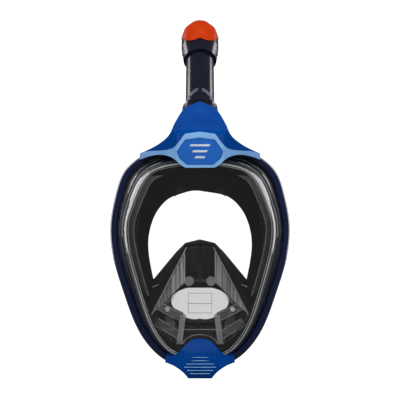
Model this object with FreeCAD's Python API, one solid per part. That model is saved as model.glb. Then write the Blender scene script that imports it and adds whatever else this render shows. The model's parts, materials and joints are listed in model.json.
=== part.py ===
"""Full-face snorkel mask: clear lens, clamped silicone skirt, nose and mouth pocket,
folding dry-top snorkel and a four-strap harness.

Millimetres. +X is the wearer's left seen from the front, -Y is the front, +Z is up.
The origin is the centre of the face seal.
"""
import FreeCAD, Part

import math
import os

Vec = FreeCAD.Vector
SIDES = {"left": 1, "right": -1}

# Clearances and walls
GAP = 0.4
FIT = 0.05
TOUCH = 0.02
OVER = 1.0
LENS_WALL = 2.4
FLANGE_THICKNESS = 2.8
SKIRT_WALL = 2.4
CUP_WALL = 1.8
SHIELD_WALL = 1.6
SNORKEL_WALL = 2.0
DUCT_WALL = 2.5
FORK_WALL = 2.6

# Frame: the ring that clamps the lens on the skirt
FRAME_HALF_WIDTH = 95.0
FRAME_TOP = 106.0
FRAME_BOTTOM = -130.0
FRAME_FRONT = -54.0
FRAME_LIP = 8.0
FRAME_LIP_DEPTH = 6.6
FRAME_RIM = 2.2
FRAME_SWEEP = 14.0
REAR_FRAME_DEPTH = 6.0
FRAME_CHAMFER = 1.5

# Lens
LENS_DEPTH = 48.0
LENS_SLOPE = 19.5
LENS_TOP_SLOPE = 20.0
LENS_BOTTOM_SLOPE = 16.0
LENS_CORNER = 1.4

# Face seal inside the frame, and the opening inside the seal
SEAL_SIDE_INSET = 18.0
SEAL_TOP_INSET = 22.0
SEAL_BOTTOM_INSET = 8.0
SEAL_SWEEP = 16.0
OPENING_SIDE_INSET = 20.5
OPENING_TOP_INSET = 27.0
OPENING_BOTTOM_INSET = 12.0

# Nose and mouth pocket
POCKET_BACK = -12.0
SHIELD_BACK = -58.0
MOUTH_WINDOW_CENTRE = -63.5
MOUTH_HALF_WIDTH = 29.4
MOUTH_HALF_HEIGHT = 16.5
BOSS_X = 11.0
BOSS_RADIUS = 4.5
BOSS_TIP_RADIUS = 3.4
BOSS_BORE = 2.2
BOSS_LENGTH = 22.0
BAR_WIDTH = 8.0
BAR_DEPTH = 13.0
DUCT_PIN_RADIUS = 1.6

# Valves
INHALE_Y = -50.0
INHALE_RADIUS = 9.5
CHIN_VALVE_RADIUS = 10.0
VALVE_TRAVEL = 1.5
FLAP_THICKNESS = 0.8
STEM_RADIUS = 1.5
HUB_RADIUS = 3.2
HUB_HEIGHT = 2.5
SPOKE_WIDTH = 1.6
BUTTON_RADIUS = 2.6

# Snorkel: its axis leans back from a seat above the frame's top
SEAT_Y = -22.0
SEAT_RISE = 35.0
SNORKEL_LEAN = 47.2
SNORKEL_LENGTH = 162.0
TUBE_HALF_WIDTH = 15.5
TUBE_HALF_DEPTH = 14.0
COLLAR_HALF_WIDTH = 19.0
COLLAR_HALF_DEPTH = 17.0
COLLAR_HEIGHT = 9.0
COLLAR_START = -8.7
COLLAR_WALL = 4.5
GASKET_THICKNESS = 1.2
HEAD_LENGTH = 64.0
HEAD_HALF_WIDTH = 21.0
HEAD_HALF_DEPTH = 17.0
HEAD_OVERLAP = 6.0
CAP_HEIGHT = 19.6
HINGE_STANDOFF = 3.5
HINGE_PIN_RADIUS = 1.6
HINGE_KNUCKLE_RADIUS = 4.0
HINGE_HALF_LENGTH = 15.0
HINGE_MIDDLE_HALF = 7.0
DIVIDER_X = 6.0
DIVIDER_WALL = 1.2
FLOAT_TRAVEL = 8.0
FLOAT_RADIUS = 10.0
FLOAT_HEIGHT = 16.0
FLOAT_STANDOFF = 17.0

# Harness
STRAP_THICKNESS = 1.8
STRAP_WIDTH = 20.0
YOKE_WIDTH = 26.0
CLIP_WIDTH = 8.4
CLIP_DEPTH = 10.0
CLIP_HEIGHT = 26.0
CLIP_INSET = 1.0
CLIP_PIN_RADIUS = 1.2
UPPER_CLIP_DROP = 40.0
LOWER_CLIP_RISE = 83.0
LEVER_HALF_LENGTH = 7.0
LEVER_THICKNESS = 1.6
YOKE_INSET = 21.0
YOKE_REACH = 49.2
YOKE_RISE = 8.0
YOKE_DEPTH = 24.0

# Outlines from the top centre round one side to the bottom centre, as shares of the
# half width and of the height above or below the origin
FRAME_SHAPE = [(0, 1), (0.36, 0.975), (0.65, 0.877), (0.837, 0.736), (0.937, 0.51), (1, 0.19),
               (0.958, -0.13), (0.842, -0.4), (0.658, -0.72), (0.379, -0.93), (0, -1)]
LENS_SHAPE = [(0, 1), (0.37, 0.97), (0.66, 0.885), (0.81, 0.72), (0.925, 0.48), (1, 0.22),
              (0.945, -0.11), (0.815, -0.42), (0.65, -0.72), (0.385, -0.94), (0, -1)]
SEAL_SHAPE = [(0, 1), (0.39, 0.955), (0.7, 0.82), (0.87, 0.64), (0.96, 0.4), (1, 0.12),
              (0.975, -0.15), (0.87, -0.41), (0.675, -0.69), (0.39, -0.9), (0, -1)]
OPENING_SHAPE = [(0, 1), (0.38, 0.942), (0.62, 0.84), (0.79, 0.665), (0.912, 0.44), (0.995, 0.09),
                 (0.978, -0.145), (0.902, -0.345), (0.725, -0.655), (0.425, -0.91), (0, -1)]

# Pocket outlines, as shares of the frame's half width and of its depth below the origin
CUP_BACK_SHAPE = [(0, 0.038), (0.168, 0.008), (0.274, -0.069), (0.526, -0.292), (0.484, -0.577),
                  (0.284, -0.769), (0, -0.823)]
CUP_FRONT_SHAPE = [(0, 0.027), (0.158, 0.019), (0.295, -0.169), (0.558, -0.538), (0.505, -0.646),
                   (0.326, -0.769), (0, -0.815)]
SHIELD_FRONT_SHAPE = [(0, 0.004), (0.142, -0.004), (0.274, -0.185), (0.516, -0.531),
                      (0.463, -0.631), (0.305, -0.738), (0, -0.777)]
SHIELD_BACK_SHAPE = [(0, -0.2), (0.137, -0.208), (0.189, -0.262), (0.326, -0.446),
                     (0.316, -0.554), (0.189, -0.646), (0, -0.662)]
UPPER_BAR = [(0.432, -0.465), (0.195, -0.554)]
LOWER_BAR = [(0.463, -0.586), (0.21, -0.7)]
BAR_TIE = [(0.337, -0.477), (0.305, -0.677)]
DUCT_PIN_PLACE = [(0.347, -0.488)]

# Chin cover outline: half width and height above the frame's bottom
CHIN_SHAPE = [[(0, 37.2), (10, 35), (20, 25.5), (34.5, 18.5)], [(34.5, 18.5), (35.5, 12.5)],
              [(35.5, 12.5), (22, 7.5), (12, -3.3)], [(12, -3.3), (0, -3.3)]]
CHIN_RIB_HALVES = (9, 12, 14, 16, 13, 10)

# Bracket outlines: share of the frame's half width, and height above the frame's top
FORK_FLANK = [(0.245, 25.5), (0.282, 17.5), (0.316, 9.2), (0.4, 1), (0.564, -7.2), (0.653, -10.5)]
FORK_FOOT = [(0.547, -14), (0.4, -13), (0.221, -22.5)]
BAND_EDGE = [(0.158, 8), (0.21, 1.5), (0.284, -6), (0.4, -8.5), (0.647, -11)]
PLATE_CORNERS = [(0, 4), (0.158, 2), (0.247, -10), (0.221, -17), (0.137, -23.5), (0, -23.5)]


# ---------------------------------------------------------------- shared shape helpers
def mirrored(half):
    """A closed loop of (x, z) points from the right half, top centre to bottom centre."""
    return half + [(-x, z) for x, z in half[-2:0:-1]]


def outline(shape, half_width, top, bottom):
    return mirrored([(x * half_width, z * (top if z > 0 else -bottom)) for x, z in shape])


def inset(points, distance):
    """The loop moved inwards by a distance, along each point's own normal."""
    moved = []
    for index, (x, z) in enumerate(points):
        before = points[index - 1]
        after = points[(index + 1) % len(points)]
        run = math.hypot(after[0] - before[0], after[1] - before[1])
        moved.append((x + (after[1] - before[1]) / run * distance,
                      z - (after[0] - before[0]) / run * distance))
    return moved


def rail(points, y, sweep=0.0):
    """A smooth closed curve through a loop; the sweep bends its sides back."""
    half_width = max(x for x, z in points)
    curve = Part.BSplineCurve()
    curve.interpolate(Points=[Vec(x, y + sweep * (x / half_width) ** 2, z) for x, z in points],
                      PeriodicFlag=True, Parameters=RAIL_PARAMETERS)
    return curve.toShape()


def rail_parameters(points):
    values = [0.0]
    for index in range(len(points)):
        after = points[(index + 1) % len(points)]
        values.append(values[-1] + math.hypot(after[0] - points[index][0],
                                              after[1] - points[index][1]))
    return values


def skin(rails, closed=True, caps=()):
    """A solid from ruled faces between neighbouring rails and flat faces inside the caps."""
    faces = [Part.makeRuledSurface(first, second) for first, second in zip(rails, rails[1:])]
    if closed:
        faces.append(Part.makeRuledSurface(rails[-1], rails[0]))
    faces += [Part.Face(Part.Wire(cap)) for cap in caps]
    shell = Part.Shell(faces)
    shell.sewShape()
    solid = Part.Solid(shell if isinstance(shell, Part.Shell) else shell.Shells[0])
    if solid.Volume < 0:
        solid.reverse()
    return solid


def frame_rail(distance, y):
    return rail(inset(FRAME_LOOP, distance), y, FRAME_SWEEP)


def lens_rail(distance, y):
    return rail(inset(LENS_LOOP, distance), y)


def frame_sweep_at(x):
    return FRAME_SWEEP * (x / FRAME_HALF_WIDTH) ** 2


def edges_through(spans, place):
    """A line for each span of two points, and a smooth curve for a longer one."""
    edges = []
    for span in spans:
        points = [place(*point) for point in span]
        if len(points) == 2:
            edges.append(Part.makeLine(*points))
        else:
            curve = Part.BSplineCurve()
            curve.interpolate(points)
            edges.append(curve.toShape())
    return edges


def face_inside(edges):
    return Part.Face(Part.Wire(Part.__sortEdges__(edges)))


def chain(points):
    return [[start, end] for start, end in zip(points, points[1:])]


def front_face(spans, y):
    """A face of constant y inside the spans on the right and their mirror image."""
    edges = edges_through(spans, lambda x, z: Vec(x, y, z))
    return face_inside(edges + edges_through(spans, lambda x, z: Vec(-x, y, z)))


def front_prism(spans, y_front, y_back):
    return front_face(spans, y_front).extrude(Vec(0, y_back - y_front, 0))


def side_prism(spans, half_width):
    """The inside of closed (y, z) spans, pushed through both sides of the centre plane."""
    edges = edges_through(spans, lambda y, z: Vec(-half_width, y, z))
    return face_inside(edges).extrude(Vec(2 * half_width, 0, 0))


def plan_prism(spans, bottom, top):
    """The inside of (x, y) spans on the right and their mirror image, pushed upwards."""
    edges = edges_through(spans, lambda x, y: Vec(x, y, bottom))
    edges += edges_through(spans, lambda x, y: Vec(-x, y, bottom))
    return face_inside(edges).extrude(Vec(0, 0, top - bottom))


def faceted_loft(near, y_near, far, y_far):
    """A solid with flat-sided sections, from one mirrored half polygon to another."""
    wires = []
    for half, y in ((near, y_near), (far, y_far)):
        corners = [Vec(x, y, z) for x, z in mirrored(half)]
        wires.append(Part.makePolygon(corners + corners[:1]))
    return Part.makeLoft(wires, True, True)


def polygon_shell(front, y_front, back, y_back, wall):
    """A faceted tube open at both ends, its inner form run on past each end."""
    outer = faceted_loft(front, y_front, back, y_back)
    inner_front = inset(mirrored(front), wall)[:len(front)]
    inner_back = inset(mirrored(back), wall)[:len(back)]
    over = OVER / (y_back - y_front)
    stretched = [[(a[0] + (a[0] - b[0]) * over, a[1] + (a[1] - b[1]) * over)
                  for a, b in zip(first, second)]
                 for first, second in ((inner_front, inner_back), (inner_back, inner_front))]
    return outer.cut(faceted_loft(stretched[0], y_front - OVER, stretched[1], y_back + OVER))


def oval_wire(half_x, half_y, z):
    if half_x >= half_y:
        curve = Part.Ellipse(Vec(0, 0, z), half_x, half_y)
    else:
        curve = Part.Ellipse(Vec(0, half_y, z), Vec(half_x, 0, z), Vec(0, 0, z))
    return Part.Wire(curve.toShape())


def oval_loft(sections):
    """Sections of (half x, half y, height) joined by straight runs."""
    return Part.makeLoft([oval_wire(*section) for section in sections], True, True)


def oval_prism(half_x, half_y, bottom, top):
    return oval_loft([(half_x, half_y, bottom), (half_x, half_y, top)])


def oval_ring(half_x, half_y, bottom, top, wall):
    inner = oval_prism(half_x - wall, half_y - wall, bottom - OVER, top + OVER)
    return oval_prism(half_x, half_y, bottom, top).cut(inner)


def disc(radius, thickness, centre=Vec(0, 0, 0), axis=Vec(0, 0, 1)):
    return Part.makeCylinder(radius, thickness, centre, axis)


def rod(radius, length, x, y, z):
    """A cylinder along +Y from a point."""
    return disc(radius, length, Vec(x, y, z), Vec(0, 1, 0))


def box(x0, x1, y0, y1, z0, z1):
    return Part.makeBox(x1 - x0, y1 - y0, z1 - z0, Vec(x0, y0, z0))


def on_side(shape, side):
    """The left piece as it is, or its mirror image for the right."""
    return shape if side > 0 else shape.mirror(Vec(0, 0, 0), Vec(1, 0, 0))


def single(shape):
    """The one solid of a result, or its largest where a cut left crumbs."""
    return max(shape.Solids, key=lambda solid: solid.Volume)


def pocket_points(shape):
    return [(x * FRAME_HALF_WIDTH, -z * FRAME_BOTTOM) for x, z in shape]


def bracket_points(shape):
    return [(x * FRAME_HALF_WIDTH, FRAME_TOP + rise) for x, rise in shape]


# ---------------------------------------------------------------- what follows from the sizes
FRAME_LOOP = outline(FRAME_SHAPE, FRAME_HALF_WIDTH, FRAME_TOP, FRAME_BOTTOM)
LENS_TOP = FRAME_TOP - LENS_TOP_SLOPE
LENS_LOOP = outline(LENS_SHAPE, FRAME_HALF_WIDTH - LENS_SLOPE, LENS_TOP, FRAME_BOTTOM + LENS_BOTTOM_SLOPE)
SEAL_HALF_WIDTH = FRAME_HALF_WIDTH - SEAL_SIDE_INSET
SEAL_TOP = FRAME_TOP - SEAL_TOP_INSET
SEAL_BOTTOM = FRAME_BOTTOM + SEAL_BOTTOM_INSET
SEAL_LOOP = outline(SEAL_SHAPE, SEAL_HALF_WIDTH, SEAL_TOP, SEAL_BOTTOM)
OPENING_LOOP = outline(OPENING_SHAPE, SEAL_HALF_WIDTH - OPENING_SIDE_INSET, SEAL_TOP - OPENING_TOP_INSET,
                       SEAL_BOTTOM + OPENING_BOTTOM_INSET)
RAIL_PARAMETERS = rail_parameters(FRAME_LOOP)

LENS_RIM_FRONT = FRAME_FRONT + FRAME_LIP_DEPTH + GAP / 2
LENS_RIM_BACK = LENS_RIM_FRONT + FLANGE_THICKNESS
LENS_FRONT = LENS_RIM_FRONT - LENS_DEPTH
LENS_MIDDLE = (LENS_FRONT + LENS_RIM_FRONT) / 2
LENS_INSIDE = LENS_FRONT + LENS_WALL
LENS_EDGE = FRAME_LIP + GAP
SKIRT_RIM_FRONT = LENS_RIM_BACK + GAP / 2
SKIRT_RIM_BACK = SKIRT_RIM_FRONT + FLANGE_THICKNESS
REAR_FRAME_FRONT = SKIRT_RIM_BACK + GAP / 2
REAR_FRAME_BACK = REAR_FRAME_FRONT + REAR_FRAME_DEPTH
CLAMP_EDGE = FRAME_RIM + GAP

CUP_BACK_HALF = pocket_points(CUP_BACK_SHAPE)
CUP_FRONT_HALF = pocket_points(CUP_FRONT_SHAPE)
SHIELD_FRONT_HALF = pocket_points(SHIELD_FRONT_SHAPE)
SHIELD_BACK_HALF = pocket_points(SHIELD_BACK_SHAPE)
SHIELD_ROOF_FRONT = SHIELD_FRONT_HALF[0][1]
SHIELD_ROOF_BACK = SHIELD_BACK_HALF[0][1]
SHIELD_FRONT = LENS_INSIDE + GAP
BOSS_Z = SHIELD_ROOF_BACK - 9.0
BAR_FRONT = LENS_INSIDE + 3.0
BAR_BACK = BAR_FRONT + BAR_DEPTH

CHIN_FRONT = LENS_FRONT - 5.5
CHIN_VALVE_Z = FRAME_BOTTOM + (LENS_EDGE + LENS_BOTTOM_SLOPE) / 2 - 2.7

LEAN = math.radians(SNORKEL_LEAN)
SEAT_Z = FRAME_TOP + SEAT_RISE
TUBE_LENGTH = SNORKEL_LENGTH - HEAD_LENGTH
BORE_HALF_WIDTH = TUBE_HALF_WIDTH - SNORKEL_WALL
BORE_HALF_DEPTH = TUBE_HALF_DEPTH - SNORKEL_WALL
CAP_LEVEL = SEAT_Z + SNORKEL_LENGTH * math.cos(LEAN) - CAP_HEIGHT
HINGE_OFFSET = COLLAR_HALF_DEPTH + HINGE_STANDOFF
FLOAT_START = TUBE_LENGTH + FLOAT_STANDOFF
FORK_FRONT = LENS_FRONT - FORK_WALL

UPPER_CLIP_Z = FRAME_TOP - UPPER_CLIP_DROP
LOWER_CLIP_Z = FRAME_BOTTOM + LOWER_CLIP_RISE
YOKE_END_X = FRAME_HALF_WIDTH - YOKE_INSET
YOKE_END_Y = REAR_FRAME_BACK + YOKE_REACH
YOKE_Z = UPPER_CLIP_Z + YOKE_RISE
CLIP_INNER = -CLIP_INSET - CLIP_WIDTH
CLIP_PIVOT = (CLIP_INNER + 6.2, CLIP_DEPTH - 2.6)


# ---------------------------------------------------------------- frame, lens and skirt
def front_frame():
    rails = [(FRAME_CHAMFER, FRAME_FRONT), (0, FRAME_FRONT + 2 * FRAME_CHAMFER),
             (0, REAR_FRAME_BACK - FRAME_CHAMFER), (FRAME_RIM, REAR_FRAME_BACK - FRAME_CHAMFER),
             (FRAME_RIM, FRAME_FRONT + FRAME_LIP_DEPTH), (FRAME_LIP, FRAME_FRONT + FRAME_LIP_DEPTH),
             (FRAME_LIP, FRAME_FRONT + FRAME_CHAMFER), (FRAME_LIP - FRAME_CHAMFER, FRAME_FRONT)]
    return skin([frame_rail(distance, y) for distance, y in rails])


def rear_frame():
    inner = CLAMP_EDGE + FRAME_LIP - FRAME_RIM
    rails = [(CLAMP_EDGE, REAR_FRAME_FRONT), (CLAMP_EDGE, REAR_FRAME_BACK - FRAME_CHAMFER),
             (CLAMP_EDGE + FRAME_CHAMFER, REAR_FRAME_BACK), (inner, REAR_FRAME_BACK),
             (inner, REAR_FRAME_FRONT)]
    return skin([frame_rail(distance, y) for distance, y in rails])


def frame_blank():
    """The space of the frame ring, grown by the gap."""
    rails = [(-GAP, FRAME_FRONT - GAP), (-GAP, REAR_FRAME_BACK + GAP),
             (FRAME_LIP + GAP, REAR_FRAME_BACK + GAP), (FRAME_LIP + GAP, FRAME_FRONT - GAP)]
    return skin([frame_rail(distance, y) for distance, y in rails])


def lens_blank(extra):
    """The lens as if it were solid and grown by a distance, to cut seats for it."""
    front = lens_rail(LENS_CORNER - extra, LENS_FRONT - extra)
    rails = [rail(inset(FRAME_LOOP, LENS_EDGE - extra), LENS_RIM_BACK + LENS_DEPTH),
             frame_rail(LENS_EDGE - extra, LENS_RIM_FRONT), lens_rail(-extra, LENS_FRONT + LENS_CORNER),
             front]
    return skin(rails, closed=False, caps=(rails[0], front))


def lens_cavity(extra):
    """The space inside the lens, shrunk by a distance, running back past the frame."""
    front = lens_rail(LENS_WALL + extra, LENS_INSIDE + extra)
    side = frame_rail(LENS_EDGE + LENS_WALL + extra, LENS_RIM_BACK)
    flat = rail(inset(FRAME_LOOP, LENS_EDGE + LENS_WALL + extra), LENS_RIM_BACK + LENS_DEPTH)
    return skin([flat, side, front], closed=False, caps=(flat, front))


def chin_bore(radius, top):
    """A bore up through the chin for the drain valve."""
    return disc(radius, top - FRAME_BOTTOM + 10, Vec(0, LENS_MIDDLE, FRAME_BOTTOM - 10))


def lens():
    inner_front = lens_rail(LENS_WALL, LENS_INSIDE)
    outer_front = lens_rail(LENS_CORNER, LENS_FRONT)
    rails = [inner_front, frame_rail(LENS_EDGE + LENS_WALL, LENS_RIM_BACK),
             frame_rail(CLAMP_EDGE, LENS_RIM_BACK), frame_rail(CLAMP_EDGE, LENS_RIM_FRONT),
             frame_rail(LENS_EDGE, LENS_RIM_FRONT), lens_rail(0, LENS_FRONT + LENS_CORNER), outer_front]
    body = skin(rails, closed=False, caps=(inner_front, outer_front))
    return single(body.cut(air_ports() + [chin_bore(CHIN_VALVE_RADIUS, CHIN_VALVE_Z + 20)]))


def air_ports():
    """Inhale passage in the middle of the lens's roof and an exhaust passage on each side."""
    ports = []
    for centre, half_width, half_depth in ((0, 8, 9), (17, 5, 7), (-17, 5, 7)):
        ports.append(box(centre - half_width, centre + half_width, LENS_MIDDLE - half_depth,
                         LENS_MIDDLE + half_depth, LENS_TOP - 16, LENS_TOP + 40))
    return ports


def face_skirt():
    """Flange in the clamp, wall back to the face, and a thick lip round the opening."""
    edge = CLAMP_EDGE + FRAME_LIP
    lip_sweep = SEAL_SWEEP * 0.6
    rails = [frame_rail(CLAMP_EDGE, SKIRT_RIM_FRONT), frame_rail(CLAMP_EDGE, SKIRT_RIM_BACK),
             frame_rail(edge, SKIRT_RIM_BACK),
             rail(SEAL_LOOP, -3 * SKIRT_WALL, SEAL_SWEEP),
             rail(inset(SEAL_LOOP, 3), -1.0, SEAL_SWEEP),
             rail(inset(SEAL_LOOP, 9), 0.0, SEAL_SWEEP),
             rail(OPENING_LOOP, -SKIRT_WALL, lip_sweep),
             rail(OPENING_LOOP, -1.5 * SKIRT_WALL, lip_sweep),
             rail(inset(SEAL_LOOP, 9), -SKIRT_WALL, SEAL_SWEEP),
             rail(inset(SEAL_LOOP, 4), -3.2 * SKIRT_WALL, SEAL_SWEEP),
             frame_rail(edge + SKIRT_WALL, SKIRT_RIM_FRONT)]
    return skin(rails)


# ---------------------------------------------------------------- nose and mouth pocket
def inhale_station():
    """The middle of the cup's upper side facet at the valve's depth, and the facet's tilt."""
    share = (INHALE_Y - POCKET_BACK) / (LENS_INSIDE - POCKET_BACK)
    upper, lower = [(back[0] + (front[0] - back[0]) * share, back[1] + (front[1] - back[1]) * share)
                    for back, front in zip(CUP_BACK_HALF[2:4], CUP_FRONT_HALF[2:4])]
    tilt = math.degrees(math.atan2(upper[1] - lower[1], lower[0] - upper[0]))
    return (upper[0] + lower[0]) / 2, (upper[1] + lower[1]) / 2, tilt


INHALE_X, INHALE_Z, INHALE_TILT = inhale_station()


def valve_placement(shape, side):
    """Move a valve piece, +Z outwards through the cup wall, to its side of the cup."""
    placed = shape.copy()
    placed.rotate(Vec(0, 0, 0), Vec(0, 1, 0), INHALE_TILT)
    placed.translate(Vec(INHALE_X, INHALE_Y, INHALE_Z))
    return on_side(placed, side)


def orinasal_cup():
    cup = polygon_shell(CUP_FRONT_HALF, LENS_INSIDE, CUP_BACK_HALF, POCKET_BACK, CUP_WALL)
    cup = cup.common(lens_cavity(GAP))
    for side in SIDES.values():
        cup = cup.cut(valve_placement(disc(INHALE_RADIUS + FIT, 16, Vec(0, 0, -8)), side))
    return single(cup.cut(chin_bore(CHIN_VALVE_RADIUS + OVER, CHIN_VALVE_Z + 20)))


def mouth_ring():
    """The cup's soft face membrane with the opening for the mouth and nostrils."""
    half = inset(mirrored(CUP_BACK_HALF), CUP_WALL + 3 * GAP)[:len(CUP_BACK_HALF)]
    plate = faceted_loft(half, POCKET_BACK - 5.0, half, POCKET_BACK - 2.5)
    top = MOUTH_WINDOW_CENTRE + MOUTH_HALF_HEIGHT
    bottom = MOUTH_WINDOW_CENTRE - MOUTH_HALF_HEIGHT
    shoulder = (MOUTH_HALF_WIDTH * 0.48, top)
    window = [[(0, top), shoulder],
              [shoulder, (MOUTH_HALF_WIDTH, MOUTH_WINDOW_CENTRE - MOUTH_HALF_HEIGHT * 0.21),
               (MOUTH_HALF_WIDTH * 0.85, MOUTH_WINDOW_CENTRE - MOUTH_HALF_HEIGHT * 0.55), (0, bottom)]]
    return plate.cut(front_prism(window, POCKET_BACK - 20, POCKET_BACK + 10))


def pocket_shield():
    """Clear faceted shell inside the cup, with two bosses on a cross web."""
    shield = polygon_shell(SHIELD_FRONT_HALF, SHIELD_FRONT, SHIELD_BACK_HALF, SHIELD_BACK, SHIELD_WALL)
    web = box(-BOSS_X, BOSS_X, SHIELD_FRONT + 12, SHIELD_FRONT + 14, BOSS_Z - 1.5, BOSS_Z + 1.5)
    web = web.fuse(box(-1.5, 1.5, SHIELD_FRONT + 12, SHIELD_BACK - 1, BOSS_Z - 1.5, SHIELD_ROOF_BACK + 1))
    bores = []
    for side in SIDES.values():
        boss = Part.makeCone(BOSS_RADIUS, BOSS_TIP_RADIUS, BOSS_LENGTH,
                             Vec(side * BOSS_X, SHIELD_FRONT + OVER, BOSS_Z), Vec(0, 1, 0))
        shield = shield.fuse(boss)
        bores.append(rod(BOSS_BORE, BOSS_LENGTH + 2 * OVER, side * BOSS_X, SHIELD_FRONT, BOSS_Z))
    cuts = bores + [side_duct(side) for side in SIDES.values()]
    return single(shield.fuse(web).cut(cuts))


def nose_panel():
    """Dark panel over the nose with a ribbed grille at its foot."""
    foot = SHIELD_BACK + 4.5
    slope = [(LENS_FRONT + 7, SHIELD_ROOF_FRONT + 0.3), (SHIELD_BACK, SHIELD_ROOF_BACK + 2.4),
             (foot, SHIELD_ROOF_BACK + 1.0), (foot, SHIELD_ROOF_BACK - 18),
             (foot - 2, SHIELD_ROOF_BACK - 18), (foot - 2, SHIELD_ROOF_BACK + 0.6),
             (SHIELD_BACK, SHIELD_ROOF_BACK + 1.0), (LENS_FRONT + 7, SHIELD_ROOF_FRONT - 1.1)]
    panel = side_prism(chain(slope + slope[:1]), 12.5)
    for index in range(4):
        height = SHIELD_ROOF_BACK - 4.0 - 3.4 * index
        panel = panel.fuse(box(-7, 7, foot - 3.5, foot - 1.5, height, height + 1.4))
    return panel.removeSplitter()


def beam(ends, width, y_front, y_back):
    """A straight bar between two (x, z) points."""
    start, end = ends
    run = math.hypot(end[0] - start[0], end[1] - start[1])
    across = (-(end[1] - start[1]) / run * width / 2, (end[0] - start[0]) / run * width / 2)
    corners = [(start[0] + across[0], start[1] + across[1]), (end[0] + across[0], end[1] + across[1]),
               (end[0] - across[0], end[1] - across[1]), (start[0] - across[0], start[1] - across[1])]
    face = Part.Face(Part.makePolygon([Vec(x, y_front, z) for x, z in corners + corners[:1]]))
    return face.extrude(Vec(0, y_back - y_front, 0))


def side_duct(side):
    """Two clear exhaust bars with a slot between them, tied at the back."""
    upper = beam(pocket_points(UPPER_BAR), BAR_WIDTH, BAR_FRONT, BAR_BACK)
    lower = beam(pocket_points(LOWER_BAR), BAR_WIDTH, BAR_FRONT, BAR_BACK)
    tie = beam(pocket_points(BAR_TIE), BAR_WIDTH + OVER, BAR_BACK - 2.0, BAR_BACK)
    duct = upper.fuse([lower, tie]).removeSplitter()
    x, z = pocket_points(DUCT_PIN_PLACE)[0]
    return on_side(duct.cut(rod(DUCT_PIN_RADIUS + FIT, 8, x, BAR_FRONT - OVER, z)), side)


def duct_pins():
    x, z = pocket_points(DUCT_PIN_PLACE)[0]
    pins = []
    for side in SIDES.values():
        head = rod(DUCT_PIN_RADIUS * 1.5, 1.2, side * x, BAR_FRONT - 1.2, z)
        pins.append(head.fuse(rod(DUCT_PIN_RADIUS, 6.0, side * x, BAR_FRONT - 1.2, z)).removeSplitter())
    return Part.makeCompound(pins)


def exhaust_channel(side):
    """Thin wall that makes an exhaust passage up one side of the lens."""
    rails = [frame_rail(LENS_EDGE + 3.3, LENS_RIM_BACK - 1.6),
             frame_rail(LENS_EDGE + 9, LENS_RIM_BACK - 1.6),
             lens_rail(9.2, LENS_INSIDE + GAP), lens_rail(7.8, LENS_INSIDE + GAP),
             frame_rail(LENS_EDGE + 7.5, LENS_RIM_BACK - 3.0),
             frame_rail(LENS_EDGE + 3.8, LENS_RIM_BACK - 3.0)]
    keep = box(FRAME_HALF_WIDTH * 0.2, FRAME_HALF_WIDTH + 10, LENS_FRONT - 20, 0,
               FRAME_BOTTOM * 0.38, FRAME_TOP * 0.68)
    return single(skin(rails).common(on_side(keep, side)).common(lens_cavity(GAP * 0.6)))


def spoked_seat(radius, wall, foot, height, hub_foot):
    """A valve's ring with a spoked hub for the stem of the flap, which lies below it."""
    seat = disc(radius, height, Vec(0, 0, foot))
    seat = seat.cut(disc(radius - wall, height + 2 * OVER, Vec(0, 0, foot - OVER)))
    reach = radius - wall / 2
    half = SPOKE_WIDTH / 2
    hub_top = hub_foot + HUB_HEIGHT
    seat = seat.fuse([box(-reach, reach, -half, half, hub_foot, hub_top),
                      box(-half, half, -reach, reach, hub_foot, hub_top),
                      disc(HUB_RADIUS, HUB_HEIGHT, Vec(0, 0, hub_foot))])
    return single(seat.cut(disc(STEM_RADIUS + FIT, 20, Vec(0, 0, hub_foot - 10))).removeSplitter())


def valve_flap(radius, face, hub_top):
    """A soft disc under its seat's face, with a stem through the hub and a button above it."""
    button = hub_top + VALVE_TRAVEL + GAP
    stem_foot = face - FLAP_THICKNESS / 2
    flap = disc(radius, FLAP_THICKNESS, Vec(0, 0, face - FLAP_THICKNESS - TOUCH))
    flap = flap.fuse([disc(STEM_RADIUS, button + 1.3 - stem_foot, Vec(0, 0, stem_foot)),
                      disc(BUTTON_RADIUS, 1.0, Vec(0, 0, button))])
    return single(flap.removeSplitter())


INHALE_SEAT_HALF = 2.5
INHALE_FACE = -1.3
INHALE_HUB_FOOT = -1.0


def inhale_seat(side):
    seat = spoked_seat(INHALE_RADIUS, 2.2, -INHALE_SEAT_HALF, 2 * INHALE_SEAT_HALF, INHALE_HUB_FOOT)
    recess = disc(INHALE_RADIUS - 1.0, INHALE_FACE + INHALE_SEAT_HALF, Vec(0, 0, -INHALE_SEAT_HALF))
    return valve_placement(seat.cut(recess), side)


def inhale_flap(side):
    return valve_placement(valve_flap(INHALE_RADIUS - 1.5, INHALE_FACE, INHALE_HUB_FOOT + HUB_HEIGHT), side)


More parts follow.
